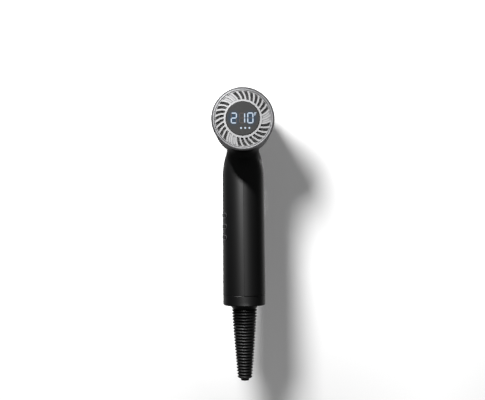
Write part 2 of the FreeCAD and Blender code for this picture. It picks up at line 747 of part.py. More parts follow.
def digit_bars(centre_x):
    """The seven bars of a digit, by the usual letters a to g."""
    wide = DIGIT_WIDTH - DIGIT_STROKE
    tall = (DIGIT_HEIGHT - DIGIT_STROKE) / 2
    left = centre_x - wide / 2
    right = centre_x + wide / 2
    low = DIGIT_RISE - tall
    high = DIGIT_RISE + tall
    level = wide - 2 * DIGIT_GAP
    upright = tall - 2 * DIGIT_GAP
    bars = {}
    for letter, z in (("a", high), ("g", DIGIT_RISE), ("d", low)):
        bars[letter] = bar(left + DIGIT_GAP, z, level, DIGIT_STROKE)
    for upper, lower, x in (("b", "c", right), ("f", "e", left)):
        for letter, z in ((upper, DIGIT_RISE), (lower, low)):
            lying = bar(z + DIGIT_GAP, x, upright, DIGIT_STROKE)
            bars[letter] = [(b, a) for a, b in lying]
    return bars


def display_figures():
    """Outlines of the lit and unlit figures: the number 210, a unit mark and three level dots."""
    lit = []
    unlit = []
    for place, letters in ((-1, "abged"), (0, "bc"), (1, "abcdef")):
        bars = digit_bars(place * DIGIT_PITCH + DIGIT_SHIFT)
        for letter, corners in bars.items():
            group = lit if letter in letters else unlit
            group.append(corners)
    mark_x = DIGIT_PITCH + DIGIT_SHIFT + DIGIT_WIDTH / 2 + MARK_GAP
    mark_z = DIGIT_RISE + DIGIT_HEIGHT / 2 - MARK_HEIGHT
    stem = mark_x + MARK_STROKE
    top = mark_z + MARK_HEIGHT
    middle = mark_z + MARK_HEIGHT / 2
    arm = mark_x + MARK_WIDTH * 0.8
    lit.append([
        (mark_x, mark_z),
        (stem, mark_z),
        (stem, middle - MARK_STROKE / 2),
        (arm, middle - MARK_STROKE / 2),
        (arm, middle + MARK_STROKE / 2),
        (stem, middle + MARK_STROKE / 2),
        (stem, top - MARK_STROKE),
        (mark_x + MARK_WIDTH, top - MARK_STROKE),
        (mark_x + MARK_WIDTH, top),
        (mark_x, top),
    ])
    return lit, unlit


def display_lens():
    """Smoked lens with windows, and the light guides that fill them."""
    lens = spin_head([
        (0, LENS_FACE_Y),
        (LENS_R, LENS_FACE_Y, LENS_ROUND),
        (LENS_R, LENS_BACK_Y),
        (0, LENS_BACK_Y),
    ])
    guide_end = LENS_BACK_Y + LENS_THICK - GLUE_GAP
    lit, unlit = display_figures()
    scale = LENS_R / FIGURE_LENS_R
    groups = []
    for figures in (lit, unlit):
        guides = []
        for corners in figures:
            wire = outline(corners, lambda x, z: V(x * scale, LENS_FACE_Y, z * scale))
            face = Part.Face(wire)
            guides.append(face.extrude(V(0, guide_end - LENS_FACE_Y, 0)))
            window = Part.Face(wire.makeOffset2D(GLUE_GAP))
            lens = lens.cut(window.extrude(V(0, LENS_THICK, 0)))
        groups.append(guides)
    dot_r = DOT_R * scale
    for i in range(DOT_COUNT):
        x = (DOT_SHIFT + (i - (DOT_COUNT - 1) / 2) * DOT_PITCH) * scale
        z = -DOT_DROP * scale
        groups[0].append(rod_y(dot_r, LENS_FACE_Y, guide_end, x, z))
        lens = lens.cut(rod_y(dot_r + GLUE_GAP, LENS_FACE_Y - 1, LENS_BACK_Y + 1, x, z))
    save("display_lens", lens.Solids[0])
    save("display_lit_figures", *groups[0])
    save("display_unlit_figures", *groups[1])


# Motor: shroud, fan and the parts inside the hub


def blade_loft(inner, outer, start, end, root_lean, tip_lean, thick):
    """A twisted blade from one radius to another, before it is trimmed round."""
    sections = []
    for radius, lean in ((inner, root_lean), (outer, tip_lean)):
        shift = (end - start) / 2 * math.tan(math.radians(lean))
        half = thick / 2
        points = [
            V(radius, start, -shift - half),
            V(radius, start, -shift + half),
            V(radius, end, shift + half),
            V(radius, end, shift - half),
        ]
        sections.append(Part.makePolygon(points + points[:1]))
    return Part.makeLoft(sections, True, True)


def impeller():
    front_r = HUB_R - RUN_GAP
    hub = spin_head([
        (0, IMPELLER_REAR_Y),
        (NOSE_END_R, IMPELLER_REAR_Y, NOSE_ROUND),
        (front_r, IMPELLER_FRONT_Y - 2),
        (front_r, IMPELLER_FRONT_Y),
        (0, IMPELLER_FRONT_Y),
    ])
    start = IMPELLER_REAR_Y + BLADE_SETBACK
    end = IMPELLER_FRONT_Y - BLADE_SETBACK
    root_r = SHAFT_R + 2
    blade = blade_loft(root_r, IMPELLER_R + 1, start, end, BLADE_ROOT_DEG, BLADE_TIP_DEG, BLADE_THICK)
    blade = blade.common(rod_y(IMPELLER_R, IMPELLER_REAR_Y, IMPELLER_FRONT_Y))
    for i in range(BLADE_COUNT):
        hub = hub.fuse(turned(blade, 360 * i / BLADE_COUNT))
    hub = hub.cut(rod_y(SHAFT_R + TIGHT_GAP, IMPELLER_REAR_Y - 1, IMPELLER_FRONT_Y + 1))
    save("impeller", hub.Solids[0])
    save("motor_shaft", rod_y(SHAFT_R, IMPELLER_REAR_Y + 1, PLATE_FRONT_Y - RUN_GAP))
    save("rotor_magnet", tube_y(ROTOR_R, SHAFT_R + TIGHT_GAP, STATOR_REAR_Y, STATOR_FRONT_Y))


def motor_shroud():
    """Outer duct, guide vanes and the hub that carries bearing, stator and end plate."""
    seat = BEARING_R + TIGHT_GAP
    hub = spin_head([
        (seat, WEB_REAR_Y),
        (HUB_R, WEB_REAR_Y, HUB_ROUND),
        (HUB_R, PLATE_FRONT_Y),
        (HUB_IN_R, PLATE_FRONT_Y),
        (HUB_IN_R, WEB_REAR_Y + BEARING_WIDTH),
        (seat, WEB_REAR_Y + BEARING_WIDTH),
    ])
    duct = tube_y(MOTOR_R, SHROUD_IN_R, MOTOR_REAR_Y, SHROUD_FRONT_Y)
    start = WEB_REAR_Y + 1
    end = SHROUD_FRONT_Y - 2
    vane = blade_loft(HUB_IN_R, MOTOR_R + 2, start, end, VANE_ROOT_DEG, VANE_TIP_DEG, VANE_THICK)
    ring = tube_y(SHROUD_IN_R + SHROUD_WALL / 2, HUB_R - HUB_WALL / 2, start, end)
    vane = vane.common(ring)
    shroud = hub.fuse(duct)
    for i in range(VANE_COUNT):
        shroud = shroud.fuse(turned(vane, 360 * i / VANE_COUNT))
    save("motor_shroud", shroud.Solids[0])


def motor_inside():
    plate_r = HUB_IN_R - FIT_GAP
    save("motor_end_plate", tube_y(plate_r, BEARING_R + TIGHT_GAP, PLATE_REAR_Y, PLATE_FRONT_Y))
    bearings = []
    for start in (WEB_REAR_Y, PLATE_REAR_Y):
        bearings.append(tube_y(BEARING_R, SHAFT_R + TIGHT_GAP, start, start + BEARING_WIDTH))
    save("motor_bearings", *bearings)
    back_r = STATOR_R - STATOR_BACK
    stack = tube_y(STATOR_R, back_r, STATOR_REAR_Y, STATOR_FRONT_Y)
    half = TOOTH_WIDTH / 2
    tooth = box(STATOR_TIP_R - 1, back_r + TOOTH_BITE, STATOR_REAR_Y, STATOR_FRONT_Y, -half, half)
    tooth = tooth.cut(rod_y(STATOR_TIP_R, STATOR_REAR_Y, STATOR_FRONT_Y))
    wide = half + COIL_DEPTH
    coil_start = STATOR_REAR_Y - COIL_DEPTH
    coil_end = STATOR_FRONT_Y + COIL_DEPTH
    coil = box(STATOR_TIP_R + COIL_END_GAP, back_r - COIL_END_GAP, coil_start, coil_end, -wide, wide)
    gap = half + GLUE_GAP
    hole = box(STATOR_TIP_R, back_r, STATOR_REAR_Y - GLUE_GAP, STATOR_FRONT_Y + GLUE_GAP, -gap, gap)
    coil = coil.cut(hole).common(rod_y(back_r - FIT_GAP, coil_start, coil_end))
    coils = []
    for i in range(3):
        stack = stack.fuse(turned(tooth, 120 * i))
        coils.append(turned(coil, 120 * i))
    save("motor_stator", stack.Solids[0])
    save("motor_windings", *coils)
    save("motor_driver_board", tube_y(plate_r, SHAFT_R + 1, PLATE_FRONT_Y, TAIL_REAR_Y))
    save("motor_tail_cap", spin_head([
        (0, TAIL_REAR_Y),
        (plate_r, TAIL_REAR_Y),
        (plate_r - 1, TAIL_REAR_Y + 2),
        (SHAFT_R + 2, TAIL_FRONT_Y, 1),
        (0, TAIL_FRONT_Y),
    ]))


def motor_mount():
    """Silicone sleeve with two flanges that hold the motor off the barrel wall."""
    inner = MOTOR_R + GLUE_GAP
    sleeve_r = inner + MOUNT_SLEEVE
    flange_r = BORE_R - FIT_GAP
    save("motor_mount", spin_head([
        (inner, MOUNT_REAR_Y),
        (flange_r, MOUNT_REAR_Y),
        (flange_r, MOUNT_REAR_Y + MOUNT_FLANGE),
        (sleeve_r, MOUNT_REAR_Y + MOUNT_FLANGE),
        (sleeve_r, MOUNT_FRONT_Y - MOUNT_FLANGE),
        (flange_r, MOUNT_FRONT_Y - MOUNT_FLANGE),
        (flange_r, MOUNT_FRONT_Y),
        (inner, MOUNT_FRONT_Y),
    ]))


# Heater and outlet


def heater():
    front = GRILLE_BACK_Y
    flange_r = OUTLET_BORE_R - FIT_GAP
    save("heater_liner", spin_head([
        (SEAT_R, LINER_REAR_Y),
        (BORE_R - FIT_GAP, LINER_REAR_Y),
        (BORE_R - FIT_GAP, LINER_REAR_Y + LINER_FLANGE),
        (LINER_R, LINER_REAR_Y + LINER_FLANGE),
        (LINER_R, front - LINER_FLANGE),
        (flange_r, front - LINER_FLANGE),
        (flange_r, front),
        (SEAT_R, front),
    ]))
    arm_r = SEAT_R - FIT_GAP
    waist_r = COIL_R - COIL_WIRE_R - FIT_GAP
    foot = 2.0
    half = MICA_THICK / 2
    star = None
    for i in range(MICA_ARMS):
        plate = box(-waist_r, waist_r, MICA_REAR_Y, MICA_FRONT_Y, -half, half)
        for start in (MICA_REAR_Y, MICA_FRONT_Y - foot):
            plate = plate.fuse(box(-arm_r, arm_r, start, start + foot, -half, half))
        plate = turned(plate, 180 * i / MICA_ARMS)
        star = plate if star is None else star.fuse(plate)
    save("heater_frame", star.Solids[0])
    save("heater_coil", coil_wire(MICA_REAR_Y + foot + 2, MICA_FRONT_Y - foot - 2))
    half_sector = 90 / MICA_ARMS
    off_arm = CUTOUT_R + MICA_THICK / 2 + FIT_GAP
    x, z = on_ring(off_arm / math.sin(math.radians(half_sector)), half_sector)
    middle = (MICA_REAR_Y + MICA_FRONT_Y) / 2
    save("thermal_cutout", rod_y(CUTOUT_R, middle - CUTOUT_LENGTH / 2, middle + CUTOUT_LENGTH / 2, x, z))


def coil_wire(start, end):
    """One unbroken heating wire wound round the mica frame, in half-turn arcs."""
    turns = int((end - start - 2 * COIL_WIRE_R) / COIL_PITCH)
    half_pitch = COIL_PITCH / 2
    edges = []
    for i in range(2 * turns):
        y = start + COIL_WIRE_R + i * half_pitch
        points = []
        for step in (0, 0.5, 1):
            x, z = on_ring(COIL_R, 180 * (i + step))
            points.append(V(x, y + half_pitch * step, z))
        edges.append(Part.Arc(points[0], points[1], points[2]).toShape())
    print("heating wire gap between turns", round(COIL_PITCH - 2 * COIL_WIRE_R, 2))
    path = Part.Wire(edges)
    return path.makePipeShell([wire_section(edges[0], COIL_WIRE_R)], True, False)


def outlet():
    magnet_out = OUTLET_BORE_R - 0.4
    magnet_in = SEAT_R + 1.2
    magnet_y = -SEAT_DEPTH + 2.2
    save("outlet_ring", spin_head([
        (SEAT_R, 0),
        (BARREL_R, 0, OUTLET_ROUND),
        (BARREL_R, SHELL_FRONT_Y + SEAM_GAP, EDGE_BREAK),
        (OUTLET_SPIGOT_R, SHELL_FRONT_Y + SEAM_GAP),
        (OUTLET_SPIGOT_R, SHELL_FRONT_Y - OUTLET_SPIGOT),
        (OUTLET_BORE_R, SHELL_FRONT_Y - OUTLET_SPIGOT),
        (OUTLET_BORE_R, -SEAT_DEPTH),
        (magnet_out, -SEAT_DEPTH),
        (magnet_out, magnet_y),
        (magnet_in, magnet_y),
        (magnet_in, -SEAT_DEPTH),
        (SEAT_R, -SEAT_DEPTH),
    ]))
    segment = spin_head([
        (magnet_in + GLUE_GAP, -SEAT_DEPTH),
        (magnet_out - GLUE_GAP, -SEAT_DEPTH),
        (magnet_out - GLUE_GAP, magnet_y - GLUE_GAP),
        (magnet_in + GLUE_GAP, magnet_y - GLUE_GAP),
    ], OUTLET_MAGNET_DEG)
    magnets = [turned(segment, 360 * i / OUTLET_MAGNETS) for i in range(OUTLET_MAGNETS)]
    save("attachment_magnets", *magnets)
    save("outlet_grille", honeycomb(OUTLET_BORE_R - FIT_GAP, SEAT_R - HEX_WEB))
    emitters = []
    for side in (-1, 1):
        start = GRILLE_BACK_Y - EMITTER_LENGTH
        point = V(side * EMITTER_OFFSET, start - EMITTER_TIP, 0)
        tip = Part.makeCone(EMITTER_TIP_R, EMITTER_R / 2, EMITTER_TIP, point, AXIS_Y)
        emitters.append(rod_y(EMITTER_R, start, GRILLE_BACK_Y, side * EMITTER_OFFSET).fuse(tip).Solids[0])
    save("ion_emitters", *emitters)


def honeycomb(radius, open_radius):
    """Disc of six-sided air holes round a plain middle and on two emitter seats."""
    pitch = HEX_FLAT + HEX_WEB
    corner = HEX_FLAT / math.sqrt(3)
    wires = [Part.Wire(Part.makeCircle(radius, V(0, GRILLE_BACK_Y, 0), AXIS_Y))]
    reach = int(open_radius / pitch) + 2
    for row in range(-reach, reach + 1):
        for column in range(-reach, reach + 1):
            x = (column + 0.5 * (row % 2)) * pitch
            z = row * pitch * math.sqrt(3) / 2
            from_axis = math.hypot(x, z)
            from_emitter = math.hypot(abs(x) - EMITTER_OFFSET, z)
            if from_axis < pitch / 2 or from_axis > open_radius - corner:
                continue
            if from_emitter < corner + EMITTER_R:
                continue
            points = []
            for i in range(7):
                angle = math.radians(60 * i + 30)
                side_x = corner * math.cos(angle)
                side_z = corner * math.sin(angle)
                points.append(V(x + side_x, GRILLE_BACK_Y, z + side_z))
            wires.append(Part.makePolygon(points))
    sheet = Part.makeFace(wires, "Part::FaceMakerBullseye")
    return sheet.extrude(V(0, OUTLET_GRILLE_THICK, 0)).Solids[0]


# Buttons: three flush bars on the left of the handle, each in a thin bright surround


def button_heights():
    return [SHOULDER_Z - BUTTON_DROP - i * BUTTON_PITCH for i in range(BUTTON_COUNT)]


def trim_reach():
    """From the edge of a button to the edge of its hole in the housing."""
    return BUTTON_GAP + TRIM_WALL + GLUE_GAP


def pill(width, height, start, end):
    """A round-ended bar, width across and height up, cut along its own +X."""
    corners = []
    for side, level in ((-1, -1), (1, -1), (1, 1), (-1, 1)):
        corners.append((side * width / 2, level * height / 2, height / 2))
    face = Part.Face(outline(corners, lambda y, z: V(start, y, z)))
    return face.extrude(V(end - start, 0, 0))


def at_button(shape, z):
    """Put a shape whose +X is a button's outward way at its place on the handle."""
    copy = shape.copy()
    copy.rotate(ORIGIN, AXIS_Z, 180 + BUTTON_TURN_DEG)
    copy.translate(V(0, HANDLE_Y, z))
    return copy


def buttons():
    trims = []
    switches = []
    reach = HANDLE_BOTTOM_R + 5
    for name, z in zip(("power_button", "speed_button", "heat_button"), button_heights()):
        surface = handle_radius(z)
        face_form = Part.makeCylinder(surface + BUTTON_PROUD, BUTTON_HEIGHT * 2, V(0, 0, -BUTTON_HEIGHT))
        cap = pill(BUTTON_WIDTH, BUTTON_HEIGHT, FLANGE_TOP, reach).common(face_form)
        lip = 2 * BUTTON_FLANGE_LIP
        flange = pill(BUTTON_WIDTH + lip, BUTTON_HEIGHT + lip, FLANGE_BASE, FLANGE_TOP)
        stem = Part.makeCylinder(STEM_R, FLANGE_BASE - STEM_TIP, V(STEM_TIP, 0, 0), AXIS_X)
        save(name, at_button(cap.fuse(flange).fuse(stem).Solids[0], z))
        outer = 2 * (BUTTON_GAP + TRIM_WALL)
        inner = 2 * BUTTON_GAP
        ring = pill(BUTTON_WIDTH + outer, BUTTON_HEIGHT + outer, 0, reach)
        ring = ring.cut(pill(BUTTON_WIDTH + inner, BUTTON_HEIGHT + inner, -1, reach + 1))
        tall = BUTTON_HEIGHT * 2
        rim = Part.makeCylinder(surface + TRIM_PROUD, 2 * tall, V(0, 0, -tall))
        rim = rim.cut(Part.makeCylinder(surface - WALL, 2 * tall, V(0, 0, -tall)))
        trims.append(at_button(ring.common(rim).Solids[0], z))
        half = SWITCH_SIZE / 2
        body = box(SWITCH_BASE, SWITCH_TOP, -half, half, -half, half)
        well_depth = RUN_GAP + BUTTON_TRAVEL + RUN_GAP
        well_floor = V(SWITCH_TOP - well_depth, 0, 0)
        well = Part.makeCylinder(STEM_R + RUN_GAP, well_depth + 1, well_floor, AXIS_X)
        switches.append(at_button(body.cut(well), z))
    save("button_trims", *trims)
    save("tact_switches", *switches)
    heights = button_heights()
    half = SWITCH_SIZE / 2 + 0.4
    top = heights[0] + 7
    end = heights[-1] - 7
    board = box(SWITCH_BASE - BOARD_THICK, SWITCH_BASE, -half, half, end, top)
    save("button_board", at_button(board, 0))
    return top, end


# Chassis and electronics inside the handle


def handle_chassis(board_top, board_end):
    reach = math.sqrt((HANDLE_TOP_R - WALL) ** 2 - (CHASSIS_OFFSET + CHASSIS_THICK) ** 2) - FIT_GAP
    back = CHASSIS_OFFSET + CHASSIS_THICK
    chassis = handle_box(-reach, reach, CHASSIS_OFFSET, back, CHASSIS_END_Z, CHASSIS_TOP_Z)
    wall_base = SWITCH_BASE - BOARD_THICK - CHASSIS_THICK
    half = SWITCH_SIZE / 2 + 0.4
    turn = math.radians(BUTTON_TURN_DEG)
    front = (CHASSIS_OFFSET + CHASSIS_THICK / 2 + wall_base * math.sin(turn)) / math.cos(turn)
    wall = box(wall_base, SWITCH_BASE - BOARD_THICK, -front, half, board_end, board_top)
    chassis = chassis.fuse(at_button(wall, 0))
    for x in (CONTROL_BOARD_LEFT + 3, CONTROL_BOARD_RIGHT - 3):
        for z in (BOARD_TOP_Z - 5, BOARD_END_Z + 5):
            start = V(x, HANDLE_Y + CHASSIS_OFFSET - STANDOFF_HEIGHT, z)
            chassis = chassis.fuse(Part.makeCylinder(STANDOFF_R, STANDOFF_HEIGHT, start, AXIS_Y))
    save("handle_chassis", chassis.Solids[0])


def electronics():
    rear = CONTROL_REAR_Y
    front = rear + CONTROL_BOARD_THICK
    left = CONTROL_BOARD_LEFT
    right = CONTROL_BOARD_RIGHT
    save("control_board", box(left, right, rear, front, BOARD_END_Z, BOARD_TOP_Z))
    middle = (left + right) / 2
    choke_reach = CHOKE_R + CHOKE_WIRE_R
    stack = CAPACITOR_LENGTH + 2 * choke_reach + SINK_HEIGHT + TRIAC_HEIGHT
    spacing = (BOARD_TOP_Z - BOARD_END_Z - 2 * BOARD_MARGIN - stack) / 3
    foot_z = BOARD_END_Z + BOARD_MARGIN
    choke_z = foot_z + CAPACITOR_LENGTH + spacing + choke_reach
    can_x = right - BOARD_SIDE_MARGIN - CAPACITOR_R
    can = V(can_x, rear - CAPACITOR_R - GLUE_GAP, foot_z)
    capacitor = Part.makeCylinder(CAPACITOR_R, CAPACITOR_LENGTH, can, AXIS_Z)
    rims = [e for e in capacitor.Edges if isinstance(e.Curve, Part.Circle)]
    save("filter_capacitor", capacitor.makeFillet(CAPACITOR_ROUND, rims))
    ring_centre = V(middle, rear - CHOKE_WIRE_R - GLUE_GAP, choke_z)
    save("choke_coil", Part.makeTorus(CHOKE_R, CHOKE_WIRE_R, ring_centre, AXIS_Y))
    half = SINK_WIDTH / 2
    low = choke_z + choke_reach + spacing
    high = low + SINK_HEIGHT
    sink = box(middle - half, middle + half, rear - SINK_BASE, rear, low, high)
    for i in range(SINK_FINS):
        x = middle - half + i * (SINK_WIDTH - FIN_THICK) / (SINK_FINS - 1)
        sink = sink.fuse(box(x, x + FIN_THICK, rear - SINK_DEPTH, rear - SINK_BASE / 2, low, high))
    save("heat_sink", sink.Solids[0])
    half = TRIAC_WIDTH / 2
    top = high + TRIAC_HEIGHT
    save("heater_triac", box(middle - half, middle + half, rear - TRIAC_DEPTH, rear, high, top))
    block_x = can_x - CAPACITOR_R - BLOCK_GAP - BLOCK_WIDTH / 2
    save("terminal_block", terminal_block(block_x, rear, foot_z + BLOCK_HEIGHT / 2))
    back = HANDLE_Y + CHASSIS_OFFSET + CHASSIS_THICK
    half = GENERATOR_WIDTH / 2
    low = choke_z - GENERATOR_HEIGHT / 2
    generator = box(-half, half, back, back + GENERATOR_DEPTH, low, low + GENERATOR_HEIGHT)
    uprights = [e for e in generator.Edges if e.BoundBox.ZLength > 1]
    save("ion_generator", generator.makeFillet(GENERATOR_ROUND, uprights))


def terminal_block(middle, rear, z):
    """Two-way screw terminal with a screw well and a wire hole each way."""
    half = BLOCK_WIDTH / 2
    low = z - BLOCK_HEIGHT / 2
    block = box(middle - half, middle + half, rear - BLOCK_DEPTH, rear, low, low + BLOCK_HEIGHT)
    for x in (middle - half / 2, middle + half / 2):
        block = block.cut(rod_y(BLOCK_SCREW_R, rear - BLOCK_DEPTH - 1, rear - 2, x, z))
        wire_end = V(x, rear - BLOCK_DEPTH / 2, low - 1)
        block = block.cut(Part.makeCylinder(BLOCK_WIRE_R, BLOCK_HEIGHT / 2, wire_end, AXIS_Z))
    return block


def leads():
    """Motor and heater wires from the control board up through the neck."""
    start_y = CONTROL_REAR_Y + CONTROL_BOARD_THICK / 2
    low = BOARD_TOP_Z + 8
    high = low + 12

    def riser(x, top):
        foot = [(x, start_y, BOARD_TOP_Z), (x, start_y, low)]
        head = [(x, LEAD_Y, high), (x, LEAD_Y, top)]
        return wire_tube(foot + head, LEAD_R, LEAD_BEND)

    motor_top = -(HUB_R + FIT_GAP)
    save("motor_leads", *[riser(i * MOTOR_LEAD_PITCH, motor_top) for i in (-1, 0, 1)])
    heater_top = -(SEAT_R + LINER_WALL / 2)
    save("heater_leads", *[riser(side * HEATER_LEAD_OFFSET, heater_top) for side in (-1, 1)])


# End cap, cord clamp and strain relief


def clamp_post_x():
    return RELIEF_FLANGE_R + CLAMP_POST / 2 + FIT_GAP


def end_cap():
    hole = RELIEF_NECK_R + FIT_GAP
    inner = CAP_SPIGOT_R - CAP_SPIGOT_WALL
    cap_r = HANDLE_BOTTOM_R - FIT_GAP
    cap = spin_handle([
        (hole, CAP_BOSS_END_Z),
        (CAP_BOSS_END_R, CAP_BOSS_END_Z, EDGE_BREAK),
        (CAP_BOSS_TOP_R, CAP_BOTTOM_Z),
        (cap_r, CAP_BOTTOM_Z, CAP_ROUND),
        (cap_r, CAP_TOP_Z, EDGE_BREAK),
        (CAP_SPIGOT_R, CAP_TOP_Z),
        (CAP_SPIGOT_R, CAP_SPIGOT_Z),
        (inner, CAP_SPIGOT_Z),
        (inner, CAP_FLOOR_Z),
        (hole, CAP_FLOOR_Z),
    ])
    screws = []
    clamp_screws = []
    clamp_z = CAP_FLOOR_Z + RELIEF_FLANGE + CLAMP_RISE
    bar_front = -(CORD_R + CLAMP_GAP)
    bar_rear = bar_front - CLAMP_DEPTH
    bar_end = clamp_post_x() + CLAMP_POST / 2
    bar_half = CLAMP_HEIGHT / 2
    post_top = clamp_z + bar_half
    clamp = handle_box(-bar_end, bar_end, bar_rear, bar_front, clamp_z - bar_half, post_top)
    for side in (-1, 1):
        x = side * CAP_SCREW_X
        seat = CAP_BOTTOM_Z + SCREW_HEAD
        top = CAP_BOSS_Z + CAP_BOSS_HEIGHT - 3
        cap = cap.cut(rod_z(SCREW_HEAD_R + FIT_GAP, CAP_BOTTOM_Z - 1, seat, x))
        cap = cap.cut(rod_z(SCREW_R + FIT_GAP, CAP_BOTTOM_Z, CAP_TOP_Z, x))
        head = rod_z(SCREW_HEAD_R, CAP_BOTTOM_Z + SCREW_SINK, seat, x)
        recess = rod_z(SCREW_RECESS_R, CAP_BOTTOM_Z, CAP_BOTTOM_Z + SCREW_HEAD / 2, x)
        shank = rod_z(SCREW_R, seat, top, x)
        screws.append(head.fuse(shank).cut(recess).Solids[0])
        x = side * clamp_post_x()
        half = CLAMP_POST / 2
        post = handle_box(x - half, x + half, bar_front, CLAMP_POST_DEPTH, CAP_FLOOR_Z - 1, post_top)
        pilot_end = HANDLE_Y + CLAMP_POST_DEPTH - 1
        pilot = rod_y(SCREW_R + TIGHT_GAP, HANDLE_Y + bar_front - 1, pilot_end, x, clamp_z)
        cap = cap.fuse(post).cut(pilot)
        head_y = HANDLE_Y + bar_rear
        clamp = clamp.cut(rod_y(SCREW_R + FIT_GAP, head_y - 1, HANDLE_Y + bar_front + 1, x, clamp_z))
        head = rod_y(SCREW_HEAD_R, head_y - SCREW_HEAD, head_y, x, clamp_z)
        shank = rod_y(SCREW_R, head_y, pilot_end - 1, x, clamp_z)
        clamp_screws.append(head.fuse(shank).Solids[0])
    save("end_cap", cap.Solids[0])
    save("cap_screws", *screws)
    save("cord_clamp", clamp.Solids[0])
    save("clamp_screws", *clamp_screws)


def rib_radius(share):
    """Outer radius of the strain relief from its first rib to its last."""
    return RIB_TOP_R - (RIB_TOP_R - RIB_END_R) * share ** RIB_CURVE


def strain_relief():
    """Tapered rubber sleeve: a bore for the cord, rings outside and narrow slits front and back."""
    bore = CORD_R + 0.1
    nub_r = bore + RELIEF_WALL
    profile = [
        (bore, CAP_FLOOR_Z + RELIEF_FLANGE),
        (RELIEF_FLANGE_R, CAP_FLOOR_Z + RELIEF_FLANGE),
        (RELIEF_FLANGE_R, CAP_FLOOR_Z),
        (RELIEF_NECK_R, CAP_FLOOR_Z),
        (RELIEF_NECK_R, RELIEF_START_Z),
    ]
    slope = (RIB_PITCH - RIB_FLAT) / 2
    slits = []
    for i in range(RIB_COUNT):
        outer = rib_radius(i / (RIB_COUNT - 1))
        root = outer - RIB_DEPTH
        top = RELIEF_START_Z - i * RIB_PITCH
        profile.append((root, top))
        profile.append((outer, top - slope, RIB_ROUND))
        profile.append((outer, top - slope - RIB_FLAT, RIB_ROUND))
        profile.append((root, top - RIB_PITCH))
        if i == 0:
            continue
        half = WINDOW_SHARE * outer
        for side in (-1, 1):
            near, far = sorted((side * nub_r, side * (outer + 2)))
            low = top - WINDOW_HEIGHT / 2
            slits.append(handle_box(-half, half, near, far, low, low + WINDOW_HEIGHT))
    profile.append((nub_r, RELIEF_END_Z))
    profile.append((nub_r, RELIEF_END_Z - RELIEF_NUB, EDGE_BREAK))
    profile.append((bore, RELIEF_END_Z - RELIEF_NUB))
    sleeve = spin_handle(profile)
    save("strain_relief", sleeve.cut(Part.makeCompound(slits)).Solids[0])


os.makedirs("parts", exist_ok=True)
housing_halves()
intake_bezel()
intake_cover()
display_frame()
display_lens()
impeller()
motor_shroud()
motor_inside()
motor_mount()
heater()
outlet()
handle_chassis(*buttons())
electronics()
leads()
end_cap()
strain_relief()
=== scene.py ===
import math

import bmesh
import bpy
from mathutils import Matrix, Vector


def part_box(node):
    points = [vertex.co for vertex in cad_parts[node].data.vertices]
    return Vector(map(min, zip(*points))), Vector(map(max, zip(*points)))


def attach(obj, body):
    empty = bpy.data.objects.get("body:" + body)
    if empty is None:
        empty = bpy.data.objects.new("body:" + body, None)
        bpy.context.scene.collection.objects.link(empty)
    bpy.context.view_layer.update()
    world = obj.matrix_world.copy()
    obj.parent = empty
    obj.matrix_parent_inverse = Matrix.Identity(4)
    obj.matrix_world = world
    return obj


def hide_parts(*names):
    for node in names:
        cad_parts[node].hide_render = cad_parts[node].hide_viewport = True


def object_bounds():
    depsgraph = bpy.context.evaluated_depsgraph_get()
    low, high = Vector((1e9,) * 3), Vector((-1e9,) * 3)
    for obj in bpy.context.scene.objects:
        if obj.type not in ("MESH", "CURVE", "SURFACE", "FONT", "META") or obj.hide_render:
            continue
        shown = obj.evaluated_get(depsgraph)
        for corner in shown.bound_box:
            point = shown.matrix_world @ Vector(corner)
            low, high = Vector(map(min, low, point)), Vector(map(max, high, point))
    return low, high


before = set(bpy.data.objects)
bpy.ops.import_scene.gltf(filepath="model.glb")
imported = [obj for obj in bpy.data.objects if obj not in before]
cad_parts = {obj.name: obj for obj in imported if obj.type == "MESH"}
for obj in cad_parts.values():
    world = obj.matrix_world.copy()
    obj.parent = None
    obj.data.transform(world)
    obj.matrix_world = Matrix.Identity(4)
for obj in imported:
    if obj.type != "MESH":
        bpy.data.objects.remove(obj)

cad_low, cad_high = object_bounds()

# Housing halves and end cap.
# Two injection-moulded black ABS halves that meet down the middle of the handle, and a cap screwed on
# below. The steel tool was turned, so the skin carries rings round the handle and round the barrel.

MM = 0.001


def colour(code):
    """Linear RGBA from an sRGB hex code."""
    shares = [int(code[i:i + 2], 16) / 255 for i in (1, 3, 5)]
    linear = [s / 12.92 if s <= 0.04045 else ((s + 0.055) / 1.055) ** 2.4 for s in shares]
    return (*linear, 1.0)


def add(tree, kind, inputs=None, **options):
    """Add a shader node; its inputs are plain values, or the sockets that feed them."""
    node = tree.nodes.new(kind)
    for name, value in options.items():
        setattr(node, name, value)
    for name, value in (inputs or {}).items():
        if isinstance(value, bpy.types.NodeSocket):
            tree.links.new(value, node.inputs[name])
        else:
            node.inputs[name].default_value = value
    return node


def begin(name):
    """A new material with an empty node tree."""
    material = bpy.data.materials.new(name)
    material.use_nodes = True
    material.node_tree.nodes.clear()
    return material, material.node_tree


def wear(material, *names):
    """Give the named pieces their finish."""
    for name in names:
        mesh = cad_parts[name].data
        mesh.materials.clear()
        mesh.materials.append(material)


